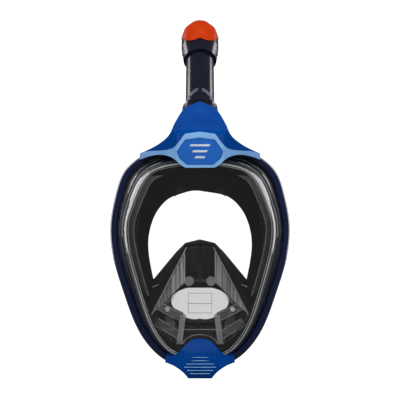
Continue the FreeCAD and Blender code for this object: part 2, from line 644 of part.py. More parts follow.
# ---------------------------------------------------------------- chin
def chin_cover():
    """Bumper over the drain valve, ribbed on its front."""
    base = FRAME_BOTTOM
    front = [(CHIN_FRONT + 3, base + 38), (CHIN_FRONT - 0.5, base + 27), (CHIN_FRONT, base + 10),
             (CHIN_FRONT + 8, base - 4)]
    back = [(FRAME_FRONT + 8, base - 4), (FRAME_FRONT + 4, base + 12), (LENS_MIDDLE - 9, base + 38)]
    profile = [front] + chain(front[-1:] + back + front[:1])
    flank = [(16, CHIN_FRONT - 1), (27, CHIN_FRONT + 3.5), (36, LENS_FRONT + 6)]
    plan = [[(0, CHIN_FRONT - 1), flank[0]], flank]
    plan += chain([flank[-1], (36, FRAME_FRONT + 10), (0, FRAME_FRONT + 10)])
    spans = [[(x, base + rise) for x, rise in span] for span in CHIN_SHAPE]
    cover = front_prism(spans, CHIN_FRONT - 5, FRAME_FRONT + 14)
    cover = cover.common(side_prism(profile, 60)).common(plan_prism(plan, base - 20, base + 50))
    room = CHIN_VALVE_RADIUS + 3
    cover = cover.cut([lens_blank(GAP), frame_blank(),
                       box(-room, room, LENS_MIDDLE - room, LENS_MIDDLE + room, base - 1, base + 30)])
    slots = [box(x - 2, x + 2, LENS_MIDDLE - 9, LENS_MIDDLE + 9, base - 10, base + 5) for x in (-8, 0, 8)]
    grooves = []
    for index, half in enumerate(CHIN_RIB_HALVES):
        height = base + 17.5 - 3.3 * index
        grooves.append(box(-half, half, CHIN_FRONT - 3, CHIN_FRONT + 0.6, height, height + 1.3))
    return single(cover.cut(slots + grooves))


def chin_placement(shape):
    placed = shape.copy()
    placed.translate(Vec(0, LENS_MIDDLE, CHIN_VALVE_Z))
    return placed


def chin_valve_seat():
    """Seat of the drain valve, pressed into the lens floor."""
    return chin_placement(spoked_seat(CHIN_VALVE_RADIUS - FIT, 2.4, 0, 10, 0))


def chin_flap():
    return chin_placement(valve_flap(CHIN_VALVE_RADIUS - 1.4, 0, HUB_HEIGHT))


# ---------------------------------------------------------------- top bracket
def lean(shape):
    """Move a shape from the snorkel's own frame, +Z along its axis, onto the mask."""
    moved = shape.copy()
    moved.rotate(Vec(0, 0, 0), Vec(1, 0, 0), -SNORKEL_LEAN)
    moved.translate(Vec(0, SEAT_Y, SEAT_Z))
    return moved


def fork_spans():
    """The bracket's outline: collar at the top, flared flanks, wing tips and scooped foot."""
    shoulder = (COLLAR_HALF_WIDTH - 2.5, SEAT_Z + 2)
    neck = (COLLAR_HALF_WIDTH - 0.5, SEAT_Z - 1)
    flank = [neck] + bracket_points(FORK_FLANK)
    foot = bracket_points([(0.663, -17.5)] + FORK_FOOT)
    corner = bracket_points([(0.158, -26.5)])[0]
    return [[(0, SEAT_Z + 10), shoulder], [shoulder, neck], flank, [flank[-1], foot[0]], foot,
            [foot[-1], corner], [corner, (0, corner[1])]]


def band_spans():
    """The trim's outline: round the badge and out along the bracket's lower edge."""
    edge = bracket_points(BAND_EDGE)
    foot = bracket_points([(0.658, -17.3)] + FORK_FOOT)
    corner = bracket_points([(0.156, -26.3)])[0]
    return [[(0, FRAME_TOP + 10), edge[0]], edge, [edge[-1], foot[0]], foot, [foot[-1], corner],
            [corner, (0, corner[1])]]


def plate_spans(scale=1.0):
    corners = bracket_points(PLATE_CORNERS)
    middle = (corners[0][1] + corners[-1][1]) / 2
    return chain([(x * scale, middle + (z - middle) * scale) for x, z in corners])


def fork_limits(grow):
    """What bounds the bracket in depth, grown forward by a distance."""
    front = FORK_FRONT - grow
    brow = [(SEAT_Y - 20 - grow, SEAT_Z + 13), (SEAT_Y - 36 - grow, SEAT_Z + 1),
            (LENS_FRONT + 17 - grow, FRAME_TOP + 21), (front + 2.4, FRAME_TOP + 11), (front, FRAME_TOP + 5)]
    rest = [(front, FRAME_TOP - 27), (FRAME_FRONT + 8, FRAME_TOP - 27), (FRAME_FRONT + 14, FRAME_TOP + 4),
            (SEAT_Y + 8, SEAT_Z - 6), (SEAT_Y + 2, SEAT_Z + 11)]
    profile = [brow] + chain(brow[-1:] + rest + brow[:1])
    wing = FRAME_HALF_WIDTH * 0.674
    cheek = [(wing * 0.344, front - 1), (wing * 0.563, front + 9), (wing, FRAME_FRONT - 8 - grow)]
    plan = [[(0, front - 1), cheek[0]], cheek]
    plan += chain([cheek[-1], (wing, FRAME_FRONT + 14), (0, SEAT_Y + 12)])
    return side_prism(profile, wing + 20).common(plan_prism(plan, FRAME_TOP - 46, SEAT_Z + 30))


def duct_loft(extra, over=0.0):
    """The manifold's outer form grown by extra, its ends pushed out by over."""
    end = COLLAR_START - over
    seat_end = (SEAT_Y + end * math.sin(LEAN), SEAT_Z + end * math.cos(LEAN))
    sections = [((LENS_MIDDLE, LENS_TOP - 6 - over), 0, 26, 13),
                ((LENS_MIDDLE + 5, FRAME_TOP + 2), 12, 24, 15),
                ((SEAT_Y - 28, SEAT_Z - 17), 30, COLLAR_HALF_WIDTH + 1.5, COLLAR_HALF_DEPTH - 0.5),
                (seat_end, SNORKEL_LEAN, COLLAR_HALF_WIDTH, COLLAR_HALF_DEPTH)]
    wires = []
    for (y, z), tilt, half_x, half_y in sections:
        wire = oval_wire(half_x + extra, half_y + extra, 0)
        wire.rotate(Vec(0, 0, 0), Vec(1, 0, 0), -tilt)
        wire.translate(Vec(0, y, z))
        wires.append(wire)
    return Part.makeLoft(wires, True, True)


def base_duct():
    """Manifold between the lens ports and the snorkel seat."""
    return single(duct_loft(0.0).cut([duct_loft(-DUCT_WALL, -2.0), lens_blank(GAP), frame_blank()]))


def fork_core():
    """The hollow behind the bracket's front and flanks, straight-sided."""
    spans = fork_spans()
    half = spans[0][:1] + [point for span in spans for point in span[1:]]
    loop = [Vec(x, LENS_FRONT - 40, z) for x, z in inset(mirrored(half), FORK_WALL)]
    core = Part.Face(Part.makePolygon(loop + loop[:1])).extrude(Vec(0, 50 - LENS_FRONT, 0))
    return core.common(fork_limits(-FORK_WALL))


def fork_cover():
    """Bracket over the manifold, open behind."""
    cover = front_prism(fork_spans(), LENS_FRONT - 40, 10).common(fork_limits(0.0))
    collar = lean(oval_prism(COLLAR_HALF_WIDTH + 0.5, COLLAR_HALF_DEPTH + 0.5, -9, 60))
    return single(cover.cut(fork_core()).cut([lens_blank(GAP), frame_blank(), duct_loft(0.3), collar]))


def fork_band():
    """Light trim that frames the badge and runs out along the bracket's lower edge."""
    band = front_prism(band_spans(), LENS_FRONT - 40, FRAME_FRONT + 14)
    band = band.common(fork_limits(1.4)).cut(fork_limits(TOUCH))
    return single(band.cut(front_prism(plate_spans(), LENS_FRONT - 40, FRAME_FRONT + 14)))


def badge_plate():
    return front_prism(plate_spans(0.97), FORK_FRONT - 1.0, FORK_FRONT - TOUCH)


def hinge_rod(radius, half_length):
    """A cylinder on the fold's axis, behind the collar."""
    return disc(radius, 2 * half_length, Vec(-half_length, HINGE_OFFSET, 0), Vec(1, 0, 0))


def hinge_bore():
    return hinge_rod(HINGE_PIN_RADIUS + FIT, 2 * HINGE_HALF_LENGTH)


def snorkel_seat():
    """Collar on the manifold that the snorkel closes on, with the hinge's outer ears."""
    top = -GASKET_THICKNESS
    seat = oval_ring(COLLAR_HALF_WIDTH, COLLAR_HALF_DEPTH, COLLAR_START + 0.1, top, COLLAR_WALL)
    foot = box(-HINGE_HALF_LENGTH, HINGE_HALF_LENGTH, COLLAR_HALF_DEPTH - 6, HINGE_OFFSET,
               COLLAR_START + 0.7, -HINGE_KNUCKLE_RADIUS - top)
    inside = oval_prism(COLLAR_HALF_WIDTH - COLLAR_WALL, COLLAR_HALF_DEPTH - COLLAR_WALL, -10, 5)
    seat = seat.fuse(hinge_rod(HINGE_KNUCKLE_RADIUS, HINGE_HALF_LENGTH).fuse(foot).cut(inside))
    middle = HINGE_MIDDLE_HALF + GAP
    knuckle_room = box(-middle, middle, COLLAR_HALF_DEPTH - 2.0, HINGE_OFFSET + 20, top - 5.2, 20)
    collar_room = box(-30, 30, 0, COLLAR_HALF_DEPTH + GAP / 2, top, 20)
    return lean(single(seat.cut([knuckle_room, collar_room, hinge_bore()])))


def hinge_pin():
    return lean(hinge_rod(HINGE_PIN_RADIUS, HINGE_HALF_LENGTH))


def seat_gasket():
    return lean(oval_ring(COLLAR_HALF_WIDTH - 0.8, COLLAR_HALF_DEPTH - 0.8, TOUCH - GASKET_THICKNESS,
                          -0.3, COLLAR_WALL - 1.3))


# ---------------------------------------------------------------- snorkel
def snorkel_tube():
    """Oval tube that widens into its collar, with the hinge's middle knuckle."""
    outer = oval_loft([(COLLAR_HALF_WIDTH, COLLAR_HALF_DEPTH, 0), (COLLAR_HALF_WIDTH, COLLAR_HALF_DEPTH, 5),
                       (TUBE_HALF_WIDTH, TUBE_HALF_DEPTH, COLLAR_HEIGHT),
                       (TUBE_HALF_WIDTH, TUBE_HALF_DEPTH, TUBE_LENGTH)])
    ear_room = hinge_rod(HINGE_KNUCKLE_RADIUS + GAP, HINGE_HALF_LENGTH + OVER)
    knuckle = hinge_rod(HINGE_KNUCKLE_RADIUS, HINGE_MIDDLE_HALF)
    knuckle = knuckle.fuse(box(-HINGE_MIDDLE_HALF, HINGE_MIDDLE_HALF, COLLAR_HALF_DEPTH - 5, HINGE_OFFSET,
                               0, HINGE_KNUCKLE_RADIUS))
    bore = oval_prism(BORE_HALF_WIDTH, BORE_HALF_DEPTH, -OVER, TUBE_LENGTH + OVER)
    return lean(single(outer.cut(ear_room).fuse(knuckle).cut([bore, hinge_bore()])))


def tube_divider():
    """Insert that keeps fresh and used air apart."""
    half = DIVIDER_WALL / 2
    plates = [box(x - half, x + half, -TUBE_HALF_DEPTH, TUBE_HALF_DEPTH, 4, TUBE_LENGTH - 2)
              for x in (-DIVIDER_X, DIVIDER_X)]
    tie = box(-DIVIDER_X, DIVIDER_X, -half, half, 4, 12)
    room = oval_prism(BORE_HALF_WIDTH - GAP / 2, BORE_HALF_DEPTH - GAP / 2, 0, TUBE_LENGTH)
    return lean(single(plates[0].fuse([plates[1], tie]).common(room).removeSplitter()))


def head_form(shrink=0.0):
    """The head and cap as one form, from the tube's end to the rounded tip."""
    wide, deep, top = HEAD_HALF_WIDTH - shrink, HEAD_HALF_DEPTH - shrink, SNORKEL_LENGTH - shrink
    start = TUBE_LENGTH - HEAD_OVERLAP
    return oval_loft([(TUBE_HALF_WIDTH + 3 - shrink, TUBE_HALF_DEPTH + 3 - shrink, start),
                      (wide, deep, start + 22), (wide, deep, top - 26), (wide - 2, deep - 1.6, top - 16),
                      (wide - 8, deep - 6, top - 6), (6 - shrink, 4.5 - shrink, top)])


def above_split(gap):
    """The room above the level cut between the head and its cap."""
    return box(-60, 60, -60, 2 * SNORKEL_LENGTH, CAP_LEVEL + gap, CAP_LEVEL + SNORKEL_LENGTH)


def snorkel_head():
    """Housing of the dry-top valve, sleeved on the tube's end."""
    sleeve_end = TUBE_LENGTH + FIT
    sleeve = oval_prism(TUBE_HALF_WIDTH + FIT, TUBE_HALF_DEPTH + FIT, 0, sleeve_end)
    throat = oval_prism(BORE_HALF_WIDTH, BORE_HALF_DEPTH, 0, sleeve_end + 4)
    room = head_form(SNORKEL_WALL).common(box(-60, 60, -60, 60, sleeve_end + 2.5, 2 * SNORKEL_LENGTH))
    head = lean(head_form().cut([sleeve, throat, room]))
    return single(head.cut(above_split(0.0)))


def snorkel_cap():
    """Bright cap over the float valve, open through slots at its back."""
    slots = [box(x - 2.4, x + 2.4, 5, 30, SNORKEL_LENGTH - 26, SNORKEL_LENGTH - 13) for x in (-7.5, 0, 7.5)]
    cap = head_form().cut([head_form(SNORKEL_WALL)] + slots)
    return single(lean(cap).common(above_split(GAP)))


def float_cage():
    """Guide ring with four posts and the seal plate above."""
    base = FLOAT_START - 2.0
    lid = FLOAT_START + FLOAT_HEIGHT + FLOAT_TRAVEL + 1.6
    reach_x = HEAD_HALF_WIDTH - SNORKEL_WALL - GAP
    reach_y = HEAD_HALF_DEPTH - SNORKEL_WALL - GAP
    ring = oval_prism(reach_x, reach_y, base - 2, base)
    ring = ring.cut(disc(FLOAT_RADIUS - 2.5, 10, Vec(0, 0, base - 5)))
    plate = oval_prism(reach_x, reach_y, lid, lid + 2)
    plate = plate.cut(disc(FLOAT_RADIUS - 3.5, 10, Vec(0, 0, lid - 5)))
    posts = []
    for angle in (45, 135, 225, 315):
        out = Vec(math.cos(math.radians(angle)), math.sin(math.radians(angle)), 0) * (FLOAT_RADIUS + 2.2)
        posts.append(disc(1.4, lid - base + 2, out + Vec(0, 0, base - 1)))
    cage = ring.fuse([plate] + posts).removeSplitter()
    return lean(single(cage.common(head_form(SNORKEL_WALL + GAP / 2))))


def float_block():
    """Round float, hollow from below."""
    body = disc(FLOAT_RADIUS, FLOAT_HEIGHT, Vec(0, 0, FLOAT_START))
    rims = [edge for edge in body.Edges if edge.BoundBox.ZLength < 0.1 and len(edge.Vertexes) == 1]
    body = body.makeFillet(1.5, rims)
    return lean(body.cut(disc(FLOAT_RADIUS - 4, FLOAT_HEIGHT - 4, Vec(0, 0, FLOAT_START - OVER))))


def float_seal():
    """Soft pad on the float that closes the hole in the cage's lid."""
    return lean(disc(FLOAT_RADIUS - 2.5, 1.2, Vec(0, 0, FLOAT_START + FLOAT_HEIGHT + TOUCH)))


# ---------------------------------------------------------------- harness
def band(points, width, thickness, facings):
    """A flat strap through points, each section square to the run and turned to its facing."""
    wires = []
    for index, point in enumerate(points):
        before = points[max(index - 1, 0)]
        after = points[min(index + 1, len(points) - 1)]
        along = (Vec(*after) - Vec(*before)).normalize()
        across = along.cross(Vec(*facings[index])).normalize() * (width / 2)
        out = across.cross(along).normalize() * (thickness / 2)
        corners = [Vec(*point) + sideways + outwards for sideways, outwards in
                   ((across, out), (across * -1, out), (across * -1, out * -1), (across, out * -1))]
        wires.append(Part.makePolygon(corners + corners[:1]))
    return Part.makeLoft(wires, True, True)


def clip_station(height):
    """The frame's outer point at a height, and how far its outline leans there."""
    span = FRAME_TOP if height > 0 else -FRAME_BOTTOM
    share = height / span
    for (x0, z0), (x1, z1) in zip(FRAME_SHAPE, FRAME_SHAPE[1:]):
        if z1 <= share <= z0:
            x = (x0 + (x1 - x0) * (share - z0) / (z1 - z0)) * FRAME_HALF_WIDTH
            angle = math.degrees(math.atan2((x1 - x0) * FRAME_HALF_WIDTH, (z0 - z1) * span))
    return x, angle


def clip_point(height, out, back, along):
    """A point of the left clip: outwards, backwards and along the frame's edge."""
    x, angle = clip_station(height)
    cosine, sine = math.cos(math.radians(angle)), math.sin(math.radians(angle))
    return (x + out * cosine - along * sine, REAR_FRAME_BACK + frame_sweep_at(x) + GAP + back,
            height + out * sine + along * cosine)


def clip_place(shape, side, height):
    """Move a clip piece, +X outwards and +Z along the frame's edge, to the frame."""
    placed = shape.copy()
    placed.rotate(Vec(0, 0, 0), Vec(0, 1, 0), -clip_station(height)[1])
    placed.translate(Vec(*clip_point(height, 0, 0, 0)))
    return on_side(placed, side)


def clip_rod(radius, half_length):
    return disc(radius, 2 * half_length, Vec(CLIP_PIVOT[0], CLIP_PIVOT[1], -half_length))


def strap_clip(side, height):
    """Housing behind the rear frame with a slot for the strap and room for its lever."""
    half = CLIP_HEIGHT / 2
    lever_half = LEVER_HALF_LENGTH + GAP
    clip = box(CLIP_INNER, -CLIP_INSET, -2.0, CLIP_DEPTH, -half, half)
    slot = box(CLIP_INNER + 1.1, CLIP_INNER + 1.7 + STRAP_THICKNESS, 2.0, CLIP_DEPTH + OVER,
               2.0 - half, half - 2.0)
    pocket = box(CLIP_INNER + 4.0, OVER, 1.8, CLIP_DEPTH + OVER, -lever_half, lever_half)
    clip = clip.cut([slot, pocket, clip_rod(CLIP_PIN_RADIUS + FIT, CLIP_HEIGHT)])
    return single(clip_place(clip, side, height).cut(frame_blank()))


def clip_lever(side, height):
    """Quick-release lever that turns on the clip's pin."""
    foot = CLIP_PIVOT[0] + 0.3
    lever = clip_rod(CLIP_PIN_RADIUS + 0.7, LEVER_HALF_LENGTH)
    lever = lever.fuse(box(foot, foot + LEVER_THICKNESS, 2.4, CLIP_PIVOT[1], -LEVER_HALF_LENGTH,
                           LEVER_HALF_LENGTH))
    lever = lever.removeSplitter().cut(clip_rod(CLIP_PIN_RADIUS + FIT, CLIP_HEIGHT))
    return clip_place(single(lever), side, height)


def clip_pins():
    pin = clip_rod(CLIP_PIN_RADIUS, CLIP_HEIGHT / 2 - 3.5)
    return Part.makeCompound([clip_place(pin, side, height) for side in SIDES.values()
                              for height in (UPPER_CLIP_Z, LOWER_CLIP_Z)])


def head_yoke():
    """Pad at the back of the head, with a window each side of its middle."""
    points = [(YOKE_END_X * share, YOKE_END_Y + YOKE_DEPTH * (1 - share * share), YOKE_Z)
              for share in (-1, -0.75, -0.4, 0, 0.4, 0.75, 1)]
    pad = band(points, YOKE_WIDTH, 2 * STRAP_THICKNESS, [(0, 1, 0)] * len(points))
    window = box(8, YOKE_END_X * 0.62, 0, YOKE_END_Y + YOKE_DEPTH + 20, YOKE_Z - 4, YOKE_Z + 4)
    return single(pad.cut([on_side(window, side) for side in SIDES.values()]))


def strap(side, height, width, reach, waypoints, facing):
    """A strap from its slot in a clip through points on the left, or their mirror image."""
    inset_x = CLIP_INNER + 1.4 + STRAP_THICKNESS / 2
    start = [clip_point(height, inset_x, back, 0) for back in (2.4, CLIP_DEPTH, CLIP_DEPTH + reach)]
    angle = math.radians(clip_station(height)[1])
    square = (math.cos(angle), 0, math.sin(angle))
    facings = [square] * len(start) + [facing] * len(waypoints)
    return on_side(band(start + waypoints, width, STRAP_THICKNESS, facings), side)


def upper_strap(side):
    end = (YOKE_END_X + 1.0, YOKE_END_Y - 1.6, YOKE_Z + 2)
    middle = (YOKE_END_X + 2.4, YOKE_END_Y - 9, YOKE_Z)
    return strap(side, UPPER_CLIP_Z, STRAP_WIDTH, 3.0, [middle, end], (1, 0.2, 0.2))


def lower_strap(side):
    """From the lower clip up beside the head to just under the yoke's end."""
    rise = YOKE_Z - YOKE_WIDTH / 2 - 3.5 - LOWER_CLIP_Z
    path = [(FRAME_HALF_WIDTH - inwards, REAR_FRAME_BACK + back, LOWER_CLIP_Z + rise * share)
            for inwards, back, share in ((14.5, 38, 0.153), (10.5, 43, 0.316), (8, 48, 0.526),
                                         (8, 52.5, 0.718), (12, 55, 0.89), (18, 53.5, 1))]
    return strap(side, LOWER_CLIP_Z, STRAP_WIDTH - 4, 9.0, path, (1, 0.3, 0))


def build():
    nodes = {"front_frame": front_frame(), "rear_frame": rear_frame(), "lens": lens(),
             "face_skirt": face_skirt(), "orinasal_cup": orinasal_cup(), "mouth_ring": mouth_ring(),
             "pocket_shield": pocket_shield(), "nose_panel": nose_panel(), "duct_pins": duct_pins(),
             "chin_cover": chin_cover(), "chin_valve_seat": chin_valve_seat(), "chin_flap": chin_flap(),
             "base_duct": base_duct(), "fork_cover": fork_cover(), "fork_band": fork_band(),
             "badge_plate": badge_plate(), "snorkel_seat": snorkel_seat(), "hinge_pin": hinge_pin(),
             "seat_gasket": seat_gasket(), "snorkel_tube": snorkel_tube(), "tube_divider": tube_divider(),
             "snorkel_head": snorkel_head(), "snorkel_cap": snorkel_cap(), "float_cage": float_cage(),
             "float_block": float_block(), "float_seal": float_seal(), "head_yoke": head_yoke(),
             "clip_pins": clip_pins()}
    for name, side in SIDES.items():
        nodes["side_duct_" + name] = side_duct(side)
        nodes["exhaust_channel_" + name] = exhaust_channel(side)
        nodes["inhale_seat_" + name] = inhale_seat(side)
        nodes["inhale_flap_" + name] = inhale_flap(side)
        for level, height in (("upper", UPPER_CLIP_Z), ("lower", LOWER_CLIP_Z)):
            nodes[level + "_clip_" + name] = strap_clip(side, height)
            nodes[level + "_lever_" + name] = clip_lever(side, height)
        nodes["upper_strap_" + name] = upper_strap(side)
        nodes["lower_strap_" + name] = lower_strap(side)
    return nodes


os.makedirs("parts", exist_ok=True)
for node, shape in build().items():
    shape.exportStep("parts/" + node + ".step")
    print(node, len(shape.Solids), shape.isValid(), round(shape.Volume))
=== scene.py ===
"""Looks of a full-face snorkel mask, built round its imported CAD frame."""
import json
import math

import bmesh
import bpy
import numpy as np
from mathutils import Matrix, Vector


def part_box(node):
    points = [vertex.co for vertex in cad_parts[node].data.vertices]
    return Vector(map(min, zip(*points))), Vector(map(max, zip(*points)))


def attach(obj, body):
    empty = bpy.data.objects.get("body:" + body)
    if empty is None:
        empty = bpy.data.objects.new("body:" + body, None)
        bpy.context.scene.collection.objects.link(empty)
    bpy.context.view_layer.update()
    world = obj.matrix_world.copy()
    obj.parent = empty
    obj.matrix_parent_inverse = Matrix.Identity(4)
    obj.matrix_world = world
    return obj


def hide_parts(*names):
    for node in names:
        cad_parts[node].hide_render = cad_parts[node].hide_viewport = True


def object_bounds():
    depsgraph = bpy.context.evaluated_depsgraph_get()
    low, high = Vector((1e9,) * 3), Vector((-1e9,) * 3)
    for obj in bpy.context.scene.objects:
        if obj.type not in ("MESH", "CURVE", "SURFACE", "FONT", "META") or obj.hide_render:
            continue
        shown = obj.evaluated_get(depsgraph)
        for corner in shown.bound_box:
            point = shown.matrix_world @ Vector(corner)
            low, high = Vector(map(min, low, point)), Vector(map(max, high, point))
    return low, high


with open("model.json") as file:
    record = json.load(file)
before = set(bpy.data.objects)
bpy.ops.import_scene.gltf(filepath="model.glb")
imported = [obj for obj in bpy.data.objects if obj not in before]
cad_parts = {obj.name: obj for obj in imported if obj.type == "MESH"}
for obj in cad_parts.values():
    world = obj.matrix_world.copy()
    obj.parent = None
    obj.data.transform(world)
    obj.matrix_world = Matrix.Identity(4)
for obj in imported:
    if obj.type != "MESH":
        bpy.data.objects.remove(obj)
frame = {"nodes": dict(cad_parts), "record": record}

MM = 0.001
CAD_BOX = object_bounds()
CAMERA_DISTANCE = 1.345
CAMERA_HEIGHT = 0.0472
CAMERA_LENS = 111.4
FLOOR_DROP = 0.12
ROOM_LIGHT = 0.1
BACKDROP = 1.2
FLOOR_GLOW = 0.12
RIM_WATTS = 9.0
KEY_WATTS = 4.0
TOP_WATTS = 6.0
FILL_WATTS = 13.0
EDGE_ROUNDING = 0.0006
EDGE_LIFT = 0.012
NODES = frame["nodes"]
SIDES = {"left": 1, "right": -1}


# ---------------------------------------------------------------- camera, stage and light
def make_camera():
    camera = bpy.data.objects.new("camera", bpy.data.cameras.new("camera"))
    bpy.context.scene.collection.objects.link(camera)
    camera.location = (0.0, -CAMERA_DISTANCE, CAMERA_HEIGHT)
    camera.rotation_euler = (math.radians(90), 0, 0)
    camera.data.sensor_width = 36.0
    camera.data.lens = CAMERA_LENS
    bpy.context.scene.camera = camera


def seen_and_felt(tree, seen, felt):
    """One shader for what the camera sees, another for the light it throws on the object."""
    path = tree.nodes.new("ShaderNodeLightPath")
    mix = tree.nodes.new("ShaderNodeMixShader")
    tree.links.new(path.outputs["Is Camera Ray"], mix.inputs["Fac"])
    tree.links.new(felt, mix.inputs[1])
    tree.links.new(seen, mix.inputs[2])
    return mix.outputs["Shader"]


def make_stage():
    """A pale floor that meets the white backdrop without a line."""
    material, tree = new_material("floor_paper")
    seen = node(tree, "ShaderNodeEmission", Color=(1, 1, 1, 1), Strength=BACKDROP)
    felt = node(tree, "ShaderNodeEmission", Color=(1, 1, 1, 1), Strength=FLOOR_GLOW)
    both = seen_and_felt(tree, seen.outputs["Emission"], felt.outputs["Emission"])
    out = node(tree, "ShaderNodeOutputMaterial")
    tree.links.new(both, out.inputs["Surface"])
    bpy.ops.mesh.primitive_circle_add(vertices=96, radius=6.0, fill_type="NGON",
                                      location=(0, 0, CAD_BOX[0].z - FLOOR_DROP))
    floor = bpy.context.object
    floor.name = "floor"
    floor.data.materials.append(material)


def area_light(name, place, target, size, watts, glossy=True):
    data = bpy.data.lights.new(name, "AREA")
    data.shape = "RECTANGLE"
    data.size, data.size_y = size
    data.energy = watts
    lamp = bpy.data.objects.new(name, data)
    bpy.context.scene.collection.objects.link(lamp)
    lamp.location = place
    lamp.rotation_euler = (Vector(target) - Vector(place)).to_track_quat("-Z", "Y").to_euler()
    lamp.visible_glossy = glossy


def make_light():
    """White backdrop for the camera, a dimmer room for the object, and soft boxes."""
    world = bpy.data.worlds.new("studio")
    world.use_nodes = True
    tree = world.node_tree
    tree.nodes.clear()
    room = node(tree, "ShaderNodeBackground", Color=(1, 1, 1, 1), Strength=ROOM_LIGHT)
    backdrop = node(tree, "ShaderNodeBackground", Color=(1, 1, 1, 1), Strength=BACKDROP)
    both = seen_and_felt(tree, backdrop.outputs["Background"], room.outputs["Background"])
    out = tree.nodes.new("ShaderNodeOutputWorld")
    tree.links.new(both, out.inputs["Surface"])
    bpy.context.scene.world = world
    bpy.context.scene.view_settings.view_transform = "Standard"
    for side in (-1, 1):
        area_light("rim", (side * 1.1, 0.75, 0.35), (0, 0, 0.03), (0.7, 1.3), RIM_WATTS)
        area_light("key", (side * 0.9, -1.1, 1.0), (0, 0, 0.05), (0.5, 0.8), KEY_WATTS)
    area_light("top", (0, 0.1, 1.3), (0, 0, 0.1), (0.9, 0.6), TOP_WATTS, glossy=False)
    area_light("fill", (0, -1.6, 0.5), (0, 0, 0.03), (1.4, 1.0), FILL_WATTS, glossy=False)


# ---------------------------------------------------------------- materials
def new_material(name):
    material = bpy.data.materials.new(name)
    material.use_nodes = True
    material.node_tree.nodes.clear()
    return material, material.node_tree


def node(tree, kind, **inputs):
    made = tree.nodes.new(kind)
    for key, value in inputs.items():
        made.inputs[key.replace("_", " ")].default_value = value
    return made


def place_noise(tree, scale, detail=3.0, kind="Object"):
    where = node(tree, "ShaderNodeTexCoord")
    noise = node(tree, "ShaderNodeTexNoise", Scale=scale, Detail=detail)
    tree.links.new(where.outputs[kind], noise.inputs["Vector"])
    return noise


def ramp(tree, source, stops):
    made = tree.nodes.new("ShaderNodeValToRGB")
    first, last = made.color_ramp.elements[0], made.color_ramp.elements[1]
    first.position, first.color = stops[0][0], (*stops[0][1], 1)
    last.position, last.color = stops[-1][0], (*stops[-1][1], 1)
    for position, colour in stops[1:-1]:
        made.color_ramp.elements.new(position).color = (*colour, 1)
    tree.links.new(source, made.inputs["Fac"])
    return made


def shade(colour, factor):
    return tuple(min(1.0, value * factor) for value in colour)


def moulded(name, colour, roughness=0.3, grain=0.02, grain_scale=2600.0, edge=1.9, coat=0.0,
            specular=0.5):
    """Injection-moulded plastic: mottled colour, fine spark texture, paler worn edges."""
    material, tree = new_material(name)
    mottle = place_noise(tree, 60.0, 4.0)
    tone = ramp(tree, mottle.outputs["Fac"], [(0.3, shade(colour, 0.88)), (0.7, shade(colour, 1.12))])
    bevel = node(tree, "ShaderNodeBevel", Radius=EDGE_ROUNDING)
    bevel.samples = 4
    geometry = node(tree, "ShaderNodeNewGeometry")
    dot = node(tree, "ShaderNodeVectorMath")
    dot.operation = "DOT_PRODUCT"
    tree.links.new(bevel.outputs["Normal"], dot.inputs[0])
    tree.links.new(geometry.outputs["Normal"], dot.inputs[1])
    worn = ramp(tree, dot.outputs["Value"], [(0.86, (1, 1, 1)), (0.99, (0, 0, 0))])
    scuff = place_noise(tree, 420.0, 5.0)
    both = node(tree, "ShaderNodeMath")
    both.operation = "MULTIPLY"
    tree.links.new(worn.outputs["Color"], both.inputs[0])
    tree.links.new(scuff.outputs["Fac"], both.inputs[1])
    mix = node(tree, "ShaderNodeMix")
    mix.data_type = "RGBA"
    tree.links.new(both.outputs["Value"], mix.inputs["Factor"])
    tree.links.new(tone.outputs["Color"], mix.inputs["A"])
    mix.inputs["B"].default_value = (*[min(1.0, v * edge + EDGE_LIFT) for v in colour], 1)
    spark = place_noise(tree, grain_scale, 2.0)
    bump = node(tree, "ShaderNodeBump", Strength=grain, Distance=0.0004)
    tree.links.new(spark.outputs["Fac"], bump.inputs["Height"])
    tree.links.new(bevel.outputs["Normal"], bump.inputs["Normal"])
    gloss = node(tree, "ShaderNodeMapRange")
    smear = place_noise(tree, 35.0, 5.0)
    tree.links.new(smear.outputs["Fac"], gloss.inputs["Value"])
    gloss.inputs["To Min"].default_value = roughness * 0.75
    gloss.inputs["To Max"].default_value = roughness * 1.3
    shader = node(tree, "ShaderNodeBsdfPrincipled")
    shader.inputs["Specular IOR Level"].default_value = specular
    shader.inputs["Coat Weight"].default_value = coat
    shader.inputs["Coat Roughness"].default_value = 0.08
    tree.links.new(mix.outputs["Result"], shader.inputs["Base Color"])
    tree.links.new(gloss.outputs["Result"], shader.inputs["Roughness"])
    tree.links.new(bump.outputs["Normal"], shader.inputs["Normal"])
    out = node(tree, "ShaderNodeOutputMaterial")
    tree.links.new(shader.outputs["BSDF"], out.inputs["Surface"])
    return material


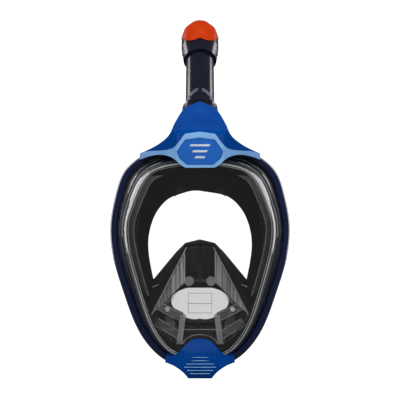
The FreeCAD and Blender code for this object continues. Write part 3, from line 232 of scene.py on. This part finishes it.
def clear(name, tint, haze, colour=(0.6, 0.6, 0.62), roughness=0.04, streaks=None):
    """Clear or smoked polycarbonate: see-through face on, mirror-like at a grazing angle.
    Streaks are (coordinates, stretch, low, high): noise bands that whiten its haze; on the lens wall they
    are painted reflection streaks."""
    material, tree = new_material(name)
    see = node(tree, "ShaderNodeBsdfTransparent", Color=(*tint, 1))
    gloss = node(tree, "ShaderNodeBsdfGlossy", Color=(1, 1, 1, 1), Roughness=roughness)
    body = node(tree, "ShaderNodeBsdfDiffuse", Color=(*colour, 1))
    fresnel = node(tree, "ShaderNodeFresnel", IOR=1.5)
    cloud = node(tree, "ShaderNodeMapRange")
    if streaks:
        kind, stretch, low, high = streaks
        where = node(tree, "ShaderNodeTexCoord")
        mapping = node(tree, "ShaderNodeMapping")
        mapping.inputs["Scale"].default_value = stretch
        tree.links.new(where.outputs[kind], mapping.inputs["Vector"])
        lines = node(tree, "ShaderNodeTexNoise", Scale=1.0, Detail=4.0, Roughness=0.6)
        tree.links.new(mapping.outputs["Vector"], lines.inputs["Vector"])
        tree.links.new(lines.outputs["Fac"], cloud.inputs["Value"])
        cloud.inputs["From Min"].default_value = 0.42
        cloud.inputs["From Max"].default_value = 0.68
        cloud.inputs["To Min"].default_value = low
        cloud.inputs["To Max"].default_value = high
    else:
        dirt = place_noise(tree, 90.0, 6.0)
        tree.links.new(dirt.outputs["Fac"], cloud.inputs["Value"])
        cloud.inputs["To Min"].default_value = haze * 0.6
        cloud.inputs["To Max"].default_value = haze * 1.4
    first = node(tree, "ShaderNodeMixShader")
    tree.links.new(cloud.outputs["Result"], first.inputs["Fac"])
    tree.links.new(see.outputs["BSDF"], first.inputs[1])
    tree.links.new(body.outputs["BSDF"], first.inputs[2])
    second = node(tree, "ShaderNodeMixShader")
    tree.links.new(fresnel.outputs["Fac"], second.inputs["Fac"])
    tree.links.new(first.outputs["Shader"], second.inputs[1])
    tree.links.new(gloss.outputs["BSDF"], second.inputs[2])
    out = node(tree, "ShaderNodeOutputMaterial")
    tree.links.new(second.outputs["Shader"], out.inputs["Surface"])
    return material


def make_materials():
    return {
        "navy_plastic": moulded("navy", (0.008, 0.014, 0.06), 0.25, coat=0.2, specular=0.4),
        "clear_lens": clear("lens_clear", (0.985, 0.99, 0.99), 0.006),
        # Whitened noise bands along the lens side wall: painted reflection streaks.
        "lens_wall_painted_streaks": clear("lens_wall_painted_streaks", (0.93, 0.94, 0.95), 0.1, (0.62, 0.64, 0.66), 0.06,
                           streaks=("UV", (5.0, 420.0, 1.0), 0.0, 0.34)),
        # Light grey haze on clear plastic, for thin lines and crease strips: painted highlight.
        "edge_highlight": clear("edge_highlight", (0.9, 0.9, 0.9), 0.6, (0.75, 0.76, 0.77), 0.1),
        "shield": clear("shield_clear", (0.95, 0.95, 0.95), 0.1, (0.5, 0.5, 0.5), 0.08,
                        streaks=("Object", (520.0, 30.0, 14.0), 0.01, 0.16)),
        "panel": clear("panel_clear", (0.9, 0.9, 0.9), 0.2, (0.7, 0.7, 0.7), 0.1,
                       streaks=("Object", (620.0, 30.0, 10.0), 0.1, 0.85)),
        "duct": clear("duct_clear", (0.6, 0.6, 0.6), 0.5, (0.22, 0.22, 0.22), 0.12,
                      streaks=("Object", (60.0, 60.0, 300.0), 0.3, 0.8)),
        # Pale haze on clear bosses, pillars and pane lines: clear plastic with a painted highlight.
        "boss": clear("boss_highlight_haze", (0.85, 0.85, 0.86), 0.35, (0.8, 0.81, 0.81), 0.08),
        "pane": clear("pane_clear", (0.8, 0.8, 0.8), 0.03, (0.6, 0.6, 0.6), 0.1),
        "black_silicone": moulded("silicone", (0.005, 0.005, 0.0052), 0.55, grain=0.05, grain_scale=1800,
                                  edge=2.2, specular=0.15),
        "skirt_ridge": moulded("ridge", (0.011, 0.011, 0.011), 0.45, grain=0.05, grain_scale=1800,
                               specular=0.25),
        "smoke_plastic": clear("smoke", (0.7, 0.71, 0.72), 0.5, (0.3, 0.31, 0.31), 0.1),
        "black_plastic": moulded("black", (0.006, 0.006, 0.007), 0.38, specular=0.35),
        "blue_plastic": moulded("blue", (0.0, 0.062, 0.34), 0.3, specular=0.12),
        "badge_blue": moulded("badge", (0.01, 0.14, 0.6), 0.3, specular=0.15),
        "light_blue_plastic": moulded("light_blue", (0.24, 0.5, 0.97), 0.32, specular=0.3),
        "badge_mark": moulded("badge_mark", (0.75, 0.8, 0.88), 0.4),
        # Pale blue-grey for the raised lines on the dark snorkel: painted highlight.
        "pale_highlight_line": moulded("pale_highlight_line", (0.3, 0.32, 0.42), 0.2, coat=0.3),
        "dark_navy_gloss": moulded("dark_navy", (0.007, 0.008, 0.02), 0.22, coat=0.3, specular=0.4),
        "orange_plastic": moulded("orange", (0.62, 0.04, 0.0), 0.35, specular=0.12),
        "white_plastic": moulded("float_foam", (0.75, 0.75, 0.72), 0.6),
        "steel": moulded("steel", (0.75, 0.75, 0.78), 0.25),
        "strap_webbing": webbing("webbing", (0.012, 0.012, 0.014)),
    }


def webbing(name, colour):
    """Elastic webbing: crossing ribs of yarn, with fuzz and a soft sheen."""
    material, tree = new_material(name)
    where = node(tree, "ShaderNodeTexCoord")
    heights = []
    for direction, scale in (("Z", 420.0), ("Y", 300.0)):
        yarn = node(tree, "ShaderNodeTexWave", Scale=scale, Distortion=0.6, Detail=1.0)
        yarn.bands_direction = direction
        tree.links.new(where.outputs["Object"], yarn.inputs["Vector"])
        heights.append(yarn.outputs["Fac"])
    weave = node(tree, "ShaderNodeMath")
    weave.operation = "MULTIPLY"
    tree.links.new(heights[0], weave.inputs[0])
    tree.links.new(heights[1], weave.inputs[1])
    tone = ramp(tree, weave.outputs["Value"], [(0.0, shade(colour, 0.6)), (1.0, shade(colour, 2.4))])
    bump = node(tree, "ShaderNodeBump", Strength=0.6, Distance=0.0006)
    tree.links.new(weave.outputs["Value"], bump.inputs["Height"])
    shader = node(tree, "ShaderNodeBsdfPrincipled", Roughness=0.85)
    shader.inputs["Sheen Weight"].default_value = 0.25
    tree.links.new(tone.outputs["Color"], shader.inputs["Base Color"])
    tree.links.new(bump.outputs["Normal"], shader.inputs["Normal"])
    out = node(tree, "ShaderNodeOutputMaterial")
    tree.links.new(shader.outputs["BSDF"], out.inputs["Surface"])
    return material


# ---------------------------------------------------------------- shapes shared with the frame
LOOP_POINTS = 240
SHARP_ANGLE = math.radians(35)
FRAME_SHAPE = [(0, 1), (0.36, 0.975), (0.65, 0.877), (0.837, 0.736), (0.937, 0.51), (1, 0.19),
               (0.958, -0.13), (0.842, -0.4), (0.658, -0.72), (0.379, -0.93), (0, -1)]
LENS_SHAPE = [(0, 1), (0.37, 0.97), (0.66, 0.885), (0.81, 0.72), (0.925, 0.48), (1, 0.22),
              (0.945, -0.11), (0.815, -0.42), (0.65, -0.72), (0.385, -0.94), (0, -1)]
FRAME_HALF_WIDTH = 95 * MM
FRAME_TOP = 106 * MM
FRAME_BOTTOM = -130 * MM
FRAME_SWEEP = 14 * MM
LENS_SLOPE = 19.5 * MM
LENS_TOP_SLOPE = 20 * MM
LENS_BOTTOM_SLOPE = 16 * MM
LENS_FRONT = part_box("lens")[0].y
LENS_WALL = 2.4 * MM
LENS_RIM_FRONT = LENS_FRONT + 48 * MM
LENS_RIM_BACK = LENS_RIM_FRONT + 2.8 * MM
LENS_EDGE = 8.4 * MM
CLAMP_EDGE = 2.6 * MM


def outline(shape, half_width, top, bottom):
    """A closed loop of (x, z) points from a half outline given in shares."""
    half = [(x * half_width, z * (top if z > 0 else -bottom)) for x, z in shape]
    return half + [(-x, z) for x, z in half[-2:0:-1]]


FRAME_LOOP = outline(FRAME_SHAPE, FRAME_HALF_WIDTH, FRAME_TOP, FRAME_BOTTOM)
LENS_LOOP = outline(LENS_SHAPE, FRAME_HALF_WIDTH - LENS_SLOPE, FRAME_TOP - LENS_TOP_SLOPE,
                    FRAME_BOTTOM + LENS_BOTTOM_SLOPE)


def inset(points, distance):
    """The loop moved inwards by a distance, along each point's own normal."""
    moved = []
    for index, (x, z) in enumerate(points):
        before = points[index - 1]
        after = points[(index + 1) % len(points)]
        run = math.hypot(after[0] - before[0], after[1] - before[1])
        moved.append((x + (after[1] - before[1]) / run * distance,
                      z - (after[0] - before[0]) / run * distance))
    return moved


def smooth_loop(points):
    """The periodic cubic curve through a loop's points, at even steps of its parameter."""
    knots = np.array(points, float)
    count = len(knots)
    ring = np.array(FRAME_LOOP)
    spans = np.linalg.norm(np.roll(ring, -1, axis=0) - ring, axis=1)
    matrix = np.zeros((count, count))
    right = np.zeros((count, knots.shape[1]))
    for here in range(count):
        before, after = (here - 1) % count, (here + 1) % count
        matrix[here, before] += spans[before]
        matrix[here, here] += 2 * (spans[before] + spans[here])
        matrix[here, after] += spans[here]
        right[here] = 6 * ((knots[after] - knots[here]) / spans[here]
                           - (knots[here] - knots[before]) / spans[before])
    bend = np.linalg.solve(matrix, right)
    starts = np.concatenate([[0.0], np.cumsum(spans)])
    made = []
    for place in np.linspace(0, starts[-1], LOOP_POINTS, endpoint=False):
        here = min(int(np.searchsorted(starts, place, side="right")) - 1, count - 1)
        after, span = (here + 1) % count, spans[here]
        near, far = starts[here + 1] - place, place - starts[here]
        made.append(bend[here] * near ** 3 / (6 * span) + bend[after] * far ** 3 / (6 * span)
                    + (knots[here] / span - bend[here] * span / 6) * near
                    + (knots[after] / span - bend[after] * span / 6) * far)
    return np.array(made)


def rail(points, y, sweep=0.0):
    half_width = max(x for x, z in points)
    return smooth_loop([(x, y + sweep * (x / half_width) ** 2, z) for x, z in points])


def frame_rail(distance, y):
    return rail(inset(FRAME_LOOP, distance), y, FRAME_SWEEP)


def lens_rail(distance, y):
    return rail(inset(LENS_LOOP, distance), y)


def new_piece(name, points, faces, material, uvs=None):
    """A mesh object with smooth shading that breaks at sharp edges."""
    mesh = bpy.data.meshes.new(name)
    mesh.from_pydata([tuple(point) for point in points], [], faces)
    if uvs is not None:
        layer = mesh.uv_layers.new(name="across")
        for loop, value in zip(layer.data, uvs):
            loop.uv = value
    mesh.materials.append(material)
    mesh.shade_smooth()
    mesh.set_sharp_from_angle(angle=SHARP_ANGLE)
    piece = bpy.data.objects.new(name, mesh)
    bpy.context.scene.collection.objects.link(piece)
    return piece


def settle(piece, body, slot, *nodes):
    """Ride a piece on its body and hide the CAD nodes it stands for; slot is not used."""
    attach(piece, body)
    if nodes:
        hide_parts(*nodes)


def ribbon(name, rails, material, caps):
    """Loops joined by quads, closed by the rails named in caps, with u along and v across in metres."""
    count = len(rails[0])
    across = [0.0]
    for near, far in zip(rails, rails[1:]):
        across.append(across[-1] + float(np.mean(np.linalg.norm(far - near, axis=1))))
    steps = np.linalg.norm(np.roll(rails[0], -1, axis=0) - rails[0], axis=1)
    along = np.concatenate([[0.0], np.cumsum(steps)])
    faces, uvs = [], []
    for row in range(len(rails) - 1):
        for column in range(count):
            after = (column + 1) % count
            faces.append((row * count + column, row * count + after,
                          (row + 1) * count + after, (row + 1) * count + column))
            uvs += [(along[column], across[row]), (along[column + 1], across[row]),
                    (along[column + 1], across[row + 1]), (along[column], across[row + 1])]
    for row in caps:
        faces.append(tuple(range(row * count, (row + 1) * count)))
        uvs += [(0.0, across[row])] * count
    piece = new_piece(name, np.vstack(rails), faces, material, uvs)
    fix_normals(piece)
    return piece


def fix_normals(piece):
    shell = bmesh.new()
    shell.from_mesh(piece.data)
    bmesh.ops.recalc_face_normals(shell, faces=shell.faces)
    shell.to_mesh(piece.data)
    shell.free()


# ---------------------------------------------------------------- lens
WALL_STEPS = [(0.14, 0), (0.17, 1), (0.34, 1), (0.37, 0), (0.58, 0), (0.61, 1), (0.8, 1), (0.83, 0)]
CREASE_DEPTH = 1.4 * MM
CONTOUR_SHARES = (0.25, 0.62)
CONTOUR_FOOT = 8 * MM
CONTOUR_INNER = 38 * MM


def between(first, second, share):
    return first + (second - first) * share


def lens_piece(materials):
    """Clear shell like the CAD lens, with fine moulded steps along its side walls, painted reflection
    streaks on them and painted highlight strips at the crease.
    """
    rim = frame_rail(LENS_EDGE, LENS_RIM_FRONT)
    crease = lens_rail(0, LENS_FRONT + CREASE_DEPTH)
    rails = [lens_rail(LENS_WALL, LENS_FRONT + LENS_WALL),
             frame_rail(LENS_EDGE + LENS_WALL, LENS_RIM_BACK),
             frame_rail(CLAMP_EDGE, LENS_RIM_BACK), frame_rail(CLAMP_EDGE, LENS_RIM_FRONT), rim]
    for share, rise in WALL_STEPS:
        rails.append(between(rim, crease, share) * np.array([1 + rise * 0.006, 1, 1 + rise * 0.005]))
    rails += [crease, lens_rail(1.3 * MM, LENS_FRONT), lens_rail(2.6 * MM, LENS_FRONT),
              lens_rail(3.0 * MM, LENS_FRONT + 0.3 * MM)]
    piece = ribbon("lens_shell", rails, materials["lens_wall_painted_streaks"], (0, len(rails) - 1))
    piece.data.materials.append(materials["clear_lens"])
    piece.data.materials.append(materials["edge_highlight"])
    bands = len(rails) - 1
    for index, face in enumerate(piece.data.polygons):
        band = index // LOOP_POINTS
        if band >= bands:
            face.material_index = 1
        # The two crease strips take the painted highlight material.
        elif band in (bands - 3, bands - 1):
            face.material_index = 2
    settle(piece, "mask", "clear_lens", "lens")
    lens_highlight_lines(rim, crease, materials["edge_highlight"])


def lens_highlight_lines(rim, crease, material):
    """Painted highlight lines: a fine bead round the front panel, and two contour lines in each upper
    corner.
    """
    bead = lens_rail(0.5 * MM, LENS_FRONT + 0.5 * MM)
    lines = [list(bead) + [bead[0]]]
    for share in CONTOUR_SHARES:
        contour = between(rim, crease, share) * np.array([1.003, 1, 1.003])
        for side in SIDES.values():
            corner = [point for point in contour
                      if point[2] > CONTOUR_FOOT and side * point[0] > CONTOUR_INNER]
            lines.append(sorted(corner, key=lambda point: point[2]))
    settle(tubes("lens_highlight_lines", lines, 0.3 * MM, material), "mask", "clear_lens")


# ---------------------------------------------------------------- rods, plates and turned pieces
ROD_SIDES = 8
TURN_STEPS = 40


def tubes(name, paths, radius, material):
    """One piece of several round rods, each along a list of points, closed at its ends."""
    points, faces = [], []
    for path in paths:
        line = [Vector(point) for point in path]
        start = len(points)
        for index, point in enumerate(line):
            along = (line[min(index + 1, len(line) - 1)] - line[max(index - 1, 0)]).normalized()
            square = Vector((0, 1, 0)) if abs(along.y) < 0.9 else Vector((1, 0, 0))
            side = along.cross(square).normalized()
            up = along.cross(side)
            for step in range(ROD_SIDES):
                turn = 2 * math.pi * step / ROD_SIDES
                points.append(point + side * math.cos(turn) * radius + up * math.sin(turn) * radius)
        faces += [tuple(start + number for number in face) for face in tube_faces(len(line), ROD_SIDES)]
    piece = new_piece(name, points, faces, material)
    fix_normals(piece)
    return piece


def tube_faces(rows, sides):
    """Faces of a tube of equal rings, with both ends closed."""
    faces = []
    for row in range(rows - 1):
        for step in range(sides):
            after = (step + 1) % sides
            faces.append((row * sides + step, row * sides + after,
                          (row + 1) * sides + after, (row + 1) * sides + step))
    faces.append(tuple(reversed(range(sides))))
    faces.append(tuple(range((rows - 1) * sides, rows * sides)))
    return faces


def plate(name, corners, y_front, thickness, material, bevel):
    """A flat plate facing the front, its edges rounded."""
    count = len(corners)
    points = [(x, y, z) for y in (y_front, y_front + thickness) for x, z in corners]
    faces = [tuple(range(count)), tuple(reversed(range(count, 2 * count)))]
    faces += [(i, (i + 1) % count, count + (i + 1) % count, count + i) for i in range(count)]
    piece = new_piece(name, points, faces, material)
    fix_normals(piece)
    rounded(piece, bevel)
    return piece


def rounded(piece, width):
    modifier = piece.modifiers.new("edges", "BEVEL")
    modifier.width = width
    modifier.segments = 2
    modifier.limit_method = "ANGLE"


def turned(name, profile, base, material):
    """A piece turned about the front-to-back line through its base: (radius, height) points."""
    tilt = Vector((0, 1, 0)).to_track_quat("Z", "Y")
    points = []
    for radius, height in profile:
        for step in range(TURN_STEPS):
            angle = 2 * math.pi * step / TURN_STEPS
            ring = Vector((radius * math.cos(angle), radius * math.sin(angle), height))
            points.append(Vector(base) + tilt @ ring)
    piece = new_piece(name, points, tube_faces(len(profile), TURN_STEPS), material)
    fix_normals(piece)
    return piece


def flat(pairs, side=1):
    """(x, z) points in metres from millimetres, mirrored for the right side."""
    return [(side * x * MM, z * MM) for x, z in pairs]


def upright(pairs, y, side=1):
    """Points at one depth, from (x, z) in millimetres."""
    return [(x, y, z) for x, z in flat(pairs, side)]


# ---------------------------------------------------------------- nose and mouth pocket
POCKET_FRONT = LENS_FRONT + LENS_WALL
POCKET_FACE = POCKET_FRONT + 0.9 * MM
LINE_LIFT = 0.2 * MM
SHIELD_EDGE = [(13.5, -0.5), (26, -24), (49, -69)]
SHIELD_PANEL = [(15, -4), (26, -25), (47.5, -67), (38, -59), (25, -45), (15, -36)]
SHIELD_FOLDS = [[(42, -38.5), (48, -41)], [(15, -27), (22, -30)]]
BOSS_PROFILE = [(2.3, 0), (4.3, 0), (4.9, 0.7), (4.9, 2.2), (3.9, 3.0), (3.6, 12), (2.3, 12)]
BOSS_X = 11 * MM
BOSS_Z = -35 * MM
BARS = {"upper": [(41.0, -60.5), (18.5, -72.0)], "lower": [(44.0, -76.2), (20.0, -91.0)]}
BAR_HALF_WIDTH = 3.8
PILLAR = [(14.6, -69), (19.6, -69), (23.4, -99), (18.6, -99)]
PILLAR_EDGES = [[(14.6, -69), (18.6, -99)], [(19.6, -69), (23.4, -99)]]
PANE_SHAPE = [(12, -43.5), (23, -47), (29.5, -56), (30, -66), (24, -75), (12, -80)]
PANE_FRONT = -60.4 * MM
PANE_HALF = 12.2
PANE_LOW, PANE_MIDDLE, PANE_HIGH = -70.0, -60.3, -49.5
ARCH_HALF_WIDTH = 17.5
ARCH_RISE = 10.5
ARCH_FOOT = -99.5
ARCH_TURN = 1.45


def shield_rims(materials):
    # The shield's edges as painted highlight lines.
    rims = [upright(SHIELD_EDGE, POCKET_FACE, side) for side in SIDES.values()]
    settle(tubes("shield_rims", rims, 0.55 * MM, materials["edge_highlight"]), "mask", "clear_lens")


def shield_side(name, side, materials):
    """Streaked panel and boss on one side of the shield."""
    panel = plate("shield_panel_" + name, flat(SHIELD_PANEL, side), POCKET_FACE + 0.4 * MM, 0.5 * MM,
                  materials["panel"], 0.1 * MM)
    settle(panel, "mask", "clear_lens")
    boss = turned("shield_boss_" + name, [(radius * MM, height * MM) for radius, height in BOSS_PROFILE],
                  (side * BOSS_X, POCKET_FRONT + 1.0 * MM, BOSS_Z), materials["boss"])
    settle(boss, "mask", "smoke_plastic")


def duct_faces(name, side, materials):
    """Frosted fronts of the two exhaust bars, and their bright edges drawn as painted highlight lines."""
    for row, (outer, inner) in BARS.items():
        run = Vector((inner[0] - outer[0], inner[1] - outer[1])).normalized()
        across = Vector((-run.y, run.x)) * BAR_HALF_WIDTH
        ends = [Vector(outer) + across, Vector(inner) + across, Vector(inner) - across,
                Vector(outer) - across]
        corners = flat(ends, side)
        face = plate("duct_face_%s_%s" % (row, name), corners, POCKET_FRONT + 2.4 * MM, 0.4 * MM,
                     materials["duct"], 0.1 * MM)
        settle(face, "mask", "smoke_plastic")
        lines = [[(x, POCKET_FRONT + 2.3 * MM, z) for x, z in pair] for pair in (corners[:2], corners[2:])]
        edges = tubes("duct_lines_%s_%s" % (row, name), lines, 0.3 * MM, materials["edge_highlight"])
        settle(edges, "mask", "smoke_plastic")


def pillar(name, side, materials):
    """Clear upright between the mouth window and an exhaust bar, hazed pale as painted highlight, with
    painted highlight lines on its edges.
    """
    body = plate("shield_pillar_" + name, flat(PILLAR, side), POCKET_FACE, 6 * MM, materials["boss"],
                 0.8 * MM)
    settle(body, "mask", "smoke_plastic")
    edges = [upright(edge, POCKET_FACE - LINE_LIFT, side) for edge in PILLAR_EDGES]
    settle(tubes("pillar_edges_" + name, edges, 0.4 * MM, materials["edge_highlight"]), "mask", "clear_lens")


def shield_folds(name, side, materials):
    """Two short moulding folds beside the panel, drawn as painted highlight lines."""
    folds = [upright(fold, POCKET_FACE + 2 * MM, side) for fold in SHIELD_FOLDS]
    settle(tubes("shield_folds_" + name, folds, 0.5 * MM, materials["edge_highlight"]), "mask", "clear_lens")


def breath_pane(materials):
    """Frosted pane in the mouth window, with a fine frame drawn on it."""
    corners = flat(PANE_SHAPE) + flat(PANE_SHAPE[::-1], -1)
    settle(plate("breath_pane", corners, PANE_FRONT, 0.8 * MM, materials["pane"], 0.3 * MM), "mask",
           "clear_lens")
    frame_line = [(-PANE_HALF, PANE_LOW), (-PANE_HALF, PANE_HIGH), (PANE_HALF, PANE_HIGH),
                  (PANE_HALF, PANE_LOW), (-PANE_HALF, PANE_LOW)]
    middle_line = [(-PANE_HALF, PANE_MIDDLE), (PANE_HALF, PANE_MIDDLE)]
    lines = [upright(line, PANE_FRONT - LINE_LIFT) for line in (frame_line, middle_line)]
    settle(tubes("pane_lines", lines, 0.3 * MM, materials["boss"]), "mask", "smoke_plastic")


def chin_arch(materials):
    """Thin moulded arch over the chin cover and a bar across the pillars, drawn as painted highlight lines.
    """
    arch = [(ARCH_HALF_WIDTH * math.sin(turn), ARCH_FOOT + ARCH_RISE * math.cos(turn))
            for turn in np.linspace(-ARCH_TURN, ARCH_TURN, 25)]
    lines = [upright(arch, POCKET_FACE - LINE_LIFT), upright([(-19, -84), (19, -84)], POCKET_FACE)]
    settle(tubes("chin_arch", lines, 0.35 * MM, materials["edge_highlight"]), "mask", "clear_lens")


def pocket_pieces(materials):
    shield_rims(materials)
    for name, side in SIDES.items():
        shield_side(name, side, materials)
        duct_faces(name, side, materials)
        pillar(name, side, materials)
        shield_folds(name, side, materials)
    breath_pane(materials)
    chin_arch(materials)


# ---------------------------------------------------------------- snorkel
SEAT = Vector((0, -22 * MM, 141 * MM))
LEAN = math.radians(47.2)
HEAD_HALF_WIDTH = 21.0
HEAD_HALF_DEPTH = 17.0
ALONG = Vector((0, math.sin(LEAN), math.cos(LEAN)))
BEHIND = Vector((0, math.cos(LEAN), -math.sin(LEAN)))
APRON_TURN = 86
APRON_LAP = 1.2
APRON_MIDDLE_DROP = 2.0
APRON_FULL_DROP = 5.2


def on_snorkel(x, back, along):
    """A point in the snorkel's own frame, given in millimetres."""
    return SEAT + Vector((x * MM, 0, 0)) + BEHIND * back * MM + ALONG * along * MM


def tube_chevrons(materials):
    """Two raised lines on each side that rise to the front of the tube's foot, coloured pale as a painted
    highlight on their edges.
    """
    chevrons = []
    for side in SIDES.values():
        for lift in (0, 3.2):
            path = []
            for share in np.linspace(0, 1, 9):
                angle = math.radians(68 - 60 * share)
                path.append(on_snorkel(side * 15.7 * math.sin(angle), -14.2 * math.cos(angle),
                                       10.5 + lift + 10 * share))
            chevrons.append(path)
    settle(tubes("tube_chevrons", chevrons, 0.42 * MM, materials["pale_highlight_line"]), "snorkel",
           "dark_navy_gloss")


def head_shell_highlights(materials):
    """Two bright lines on each side of the head's lower shell: painted highlights."""
    tips = []
    for side in SIDES.values():
        for angle, low, high in ((62, 93, 108), (78, 92.5, 104)):
            path = []
            for share in np.linspace(0, 1, 7):
                turn = math.radians(angle + 12 * share)
                wide = 18.7 + 1.9 * share * (high - low) / 15
                path.append(on_snorkel(side * wide * math.sin(turn), -17.1 * math.cos(turn),
                                       low + (high - low) * share))
            tips.append(path)
    settle(tubes("head_shell_highlights", tips, 0.4 * MM, materials["pale_highlight_line"]), "snorkel",
           "dark_navy_gloss")


def apron_drop(reach):
    """How far the apron hangs below the cap, from its middle (0) to its side (1)."""
    if reach < 0.5:
        return APRON_MIDDLE_DROP + (APRON_FULL_DROP - APRON_MIDDLE_DROP) * math.sin(math.pi * reach)
    return APRON_FULL_DROP * (1 - ((reach - 0.5) / 0.5) ** 1.4)


def cap_apron(materials):
    """Arched lower edge of the cap, lapping the front of the head."""
    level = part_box("snorkel_cap")[0].z / MM
    rows = []
    for lift, upper in ((0.2, True), (0.9, True), (0.9, False), (0.2, False)):
        row = []
        for share in np.linspace(-1, 1, 61):
            turn = math.radians(APRON_TURN * share)
            back = (HEAD_HALF_DEPTH + lift) * math.cos(turn)
            height = level + (APRON_LAP if upper else -apron_drop(abs(math.sin(turn))))
            along = (height - SEAT.z / MM + BEHIND.z * back) / ALONG.z
            row.append(on_snorkel((HEAD_HALF_WIDTH + lift) * math.sin(turn), -back, along))
        rows.append(row)
    count = len(rows[0])
    faces = []
    for row in range(4):
        after = (row + 1) % 4
        faces += [(row * count + i, row * count + i + 1, after * count + i + 1, after * count + i)
                  for i in range(count - 1)]
    faces += [tuple(row * count + end for row in range(4)) for end in (0, count - 1)]
    points = [point for row in rows for point in row]
    apron = new_piece("cap_apron", points, faces, materials["orange_plastic"])
    fix_normals(apron)
    settle(apron, "snorkel", "orange_plastic")


# ---------------------------------------------------------------- badge, chin, skirt and yoke
BADGE_HALVES = (10.5, 8.0, 5.5)
BADGE_PITCH = 6.0
BADGE_BAR_HALF = 1.1 * MM
BADGE_SKEW = 1.2 * MM
CHIN_HALVES = (9, 12, 14, 16, 13, 10)
CHIN_TOP = -111.0
CHIN_PITCH = 3.3
SKIRT_FACE = -41.9 * MM
RIDGE_EDGE = [(66.0, 33), (69.5, 12), (69.5, -12), (66.5, -34), (61.0, -52)]
RIDGE_WIDTH = 3.4
FACET = [(14.5, 59.5), (27.0, 50.5), (24.0, 60.5)]
TAB_WIDTH = 14 * MM
TAB_THICKNESS = 1.8 * MM


def badge_motif(materials):
    """Three plain raised bars in the middle of the badge."""
    low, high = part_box("badge_plate")
    middle = (low.z + high.z) / 2
    for index, half in enumerate(BADGE_HALVES):
        height = middle + (BADGE_PITCH - BADGE_PITCH * index) * MM
        corners = [(-half * MM, height - BADGE_BAR_HALF), (half * MM - BADGE_SKEW, height - BADGE_BAR_HALF),
                   (half * MM, height + BADGE_BAR_HALF), (-half * MM + BADGE_SKEW, height + BADGE_BAR_HALF)]
        bar = plate("badge_bar_%d" % (index + 1), corners, low.y - 0.35 * MM, 0.5 * MM,
                    materials["badge_mark"], 0.2 * MM)
        settle(bar, "mask", "light_blue_plastic")


def chin_trim(materials):
    """Six raised lips across the chin cover."""
    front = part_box("chin_cover")[0].y
    lips = []
    for index, half in enumerate(CHIN_HALVES):
        z = (CHIN_TOP - CHIN_PITCH * index) * MM
        back = 0.25 * MM + max(0, index - 3) ** 2 * 0.35 * MM
        lips.append([(x * MM, front + back + (x / 16) ** 2 * 0.5 * MM, z)
                     for x in np.linspace(-half, half, 9)])
    settle(tubes("chin_lips", lips, 0.42 * MM, materials["light_blue_plastic"]), "mask",
           "light_blue_plastic")


def skirt_trim(materials):
    """Ridge strips beside the skirt's opening and small facets at its upper edge."""
    strip = RIDGE_EDGE + [(x - RIDGE_WIDTH, z) for x, z in reversed(RIDGE_EDGE)]
    for name, side in SIDES.items():
        ridge = plate("skirt_ridge_" + name, flat(strip, side), SKIRT_FACE, 1.0 * MM,
                      materials["skirt_ridge"], 0.4 * MM)
        settle(ridge, "mask", "black_silicone")
        facet = plate("skirt_facet_" + name, flat(FACET, side), SKIRT_FACE, 1.0 * MM,
                      materials["skirt_ridge"], 0.3 * MM)
        settle(facet, "mask", "black_silicone")


def yoke_tabs(materials):
    """Tabs that tie the lower straps to the ends of the yoke."""
    yoke_low, yoke_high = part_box("head_yoke")
    for name, side in SIDES.items():
        strap_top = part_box("lower_strap_" + name)[1].z
        foot = Vector((side * 77.3 * MM, 17.6 * MM, strap_top - 9 * MM))
        head = Vector((side * (yoke_high.x - 6.5 * MM), yoke_low.y + 7.0 * MM, yoke_low.z + 7 * MM))
        middle = (foot + head) / 2 + Vector((side * 1.2 * MM, 0, 0))
        line = [foot, foot + Vector((0, 0, 7 * MM)), middle, head]
        tab = strap_piece("yoke_tab_" + name, line, side, materials["black_silicone"])
        settle(tab, "mask", "black_silicone")


def strap_piece(name, line, side, material):
    """A flat band through points, lying against the side of the head."""
    outward = Vector((side, 0.3, 0)).normalized()
    lift = outward * TAB_THICKNESS / 2
    points = []
    for index, point in enumerate(line):
        along = (line[min(index + 1, len(line) - 1)] - line[max(index - 1, 0)]).normalized()
        across = along.cross(outward).normalized() * TAB_WIDTH / 2
        points += [point + across + lift, point - across + lift, point - across - lift,
                   point + across - lift]
    piece = new_piece(name, points, tube_faces(len(line), 4), material)
    fix_normals(piece)
    rounded(piece, 0.4 * MM)
    return piece


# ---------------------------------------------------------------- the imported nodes
OWN_FINISH = {"pocket_shield": "shield", "side_duct_left": "duct", "side_duct_right": "duct"}


def dress_nodes(materials):
    slots = {entry["node"]: entry["material_slot"] for entry in frame["record"]["subparts"]}
    for name, item in NODES.items():
        item.data.materials.clear()
        item.data.materials.append(materials[OWN_FINISH.get(name, slots[name])])


make_camera()
make_stage()
make_light()
MATERIALS = make_materials()
dress_nodes(MATERIALS)
lens_piece(MATERIALS)
pocket_pieces(MATERIALS)
tube_chevrons(MATERIALS)
head_shell_highlights(MATERIALS)
cap_apron(MATERIALS)
badge_motif(MATERIALS)
chin_trim(MATERIALS)
skirt_trim(MATERIALS)
yoke_tabs(MATERIALS)
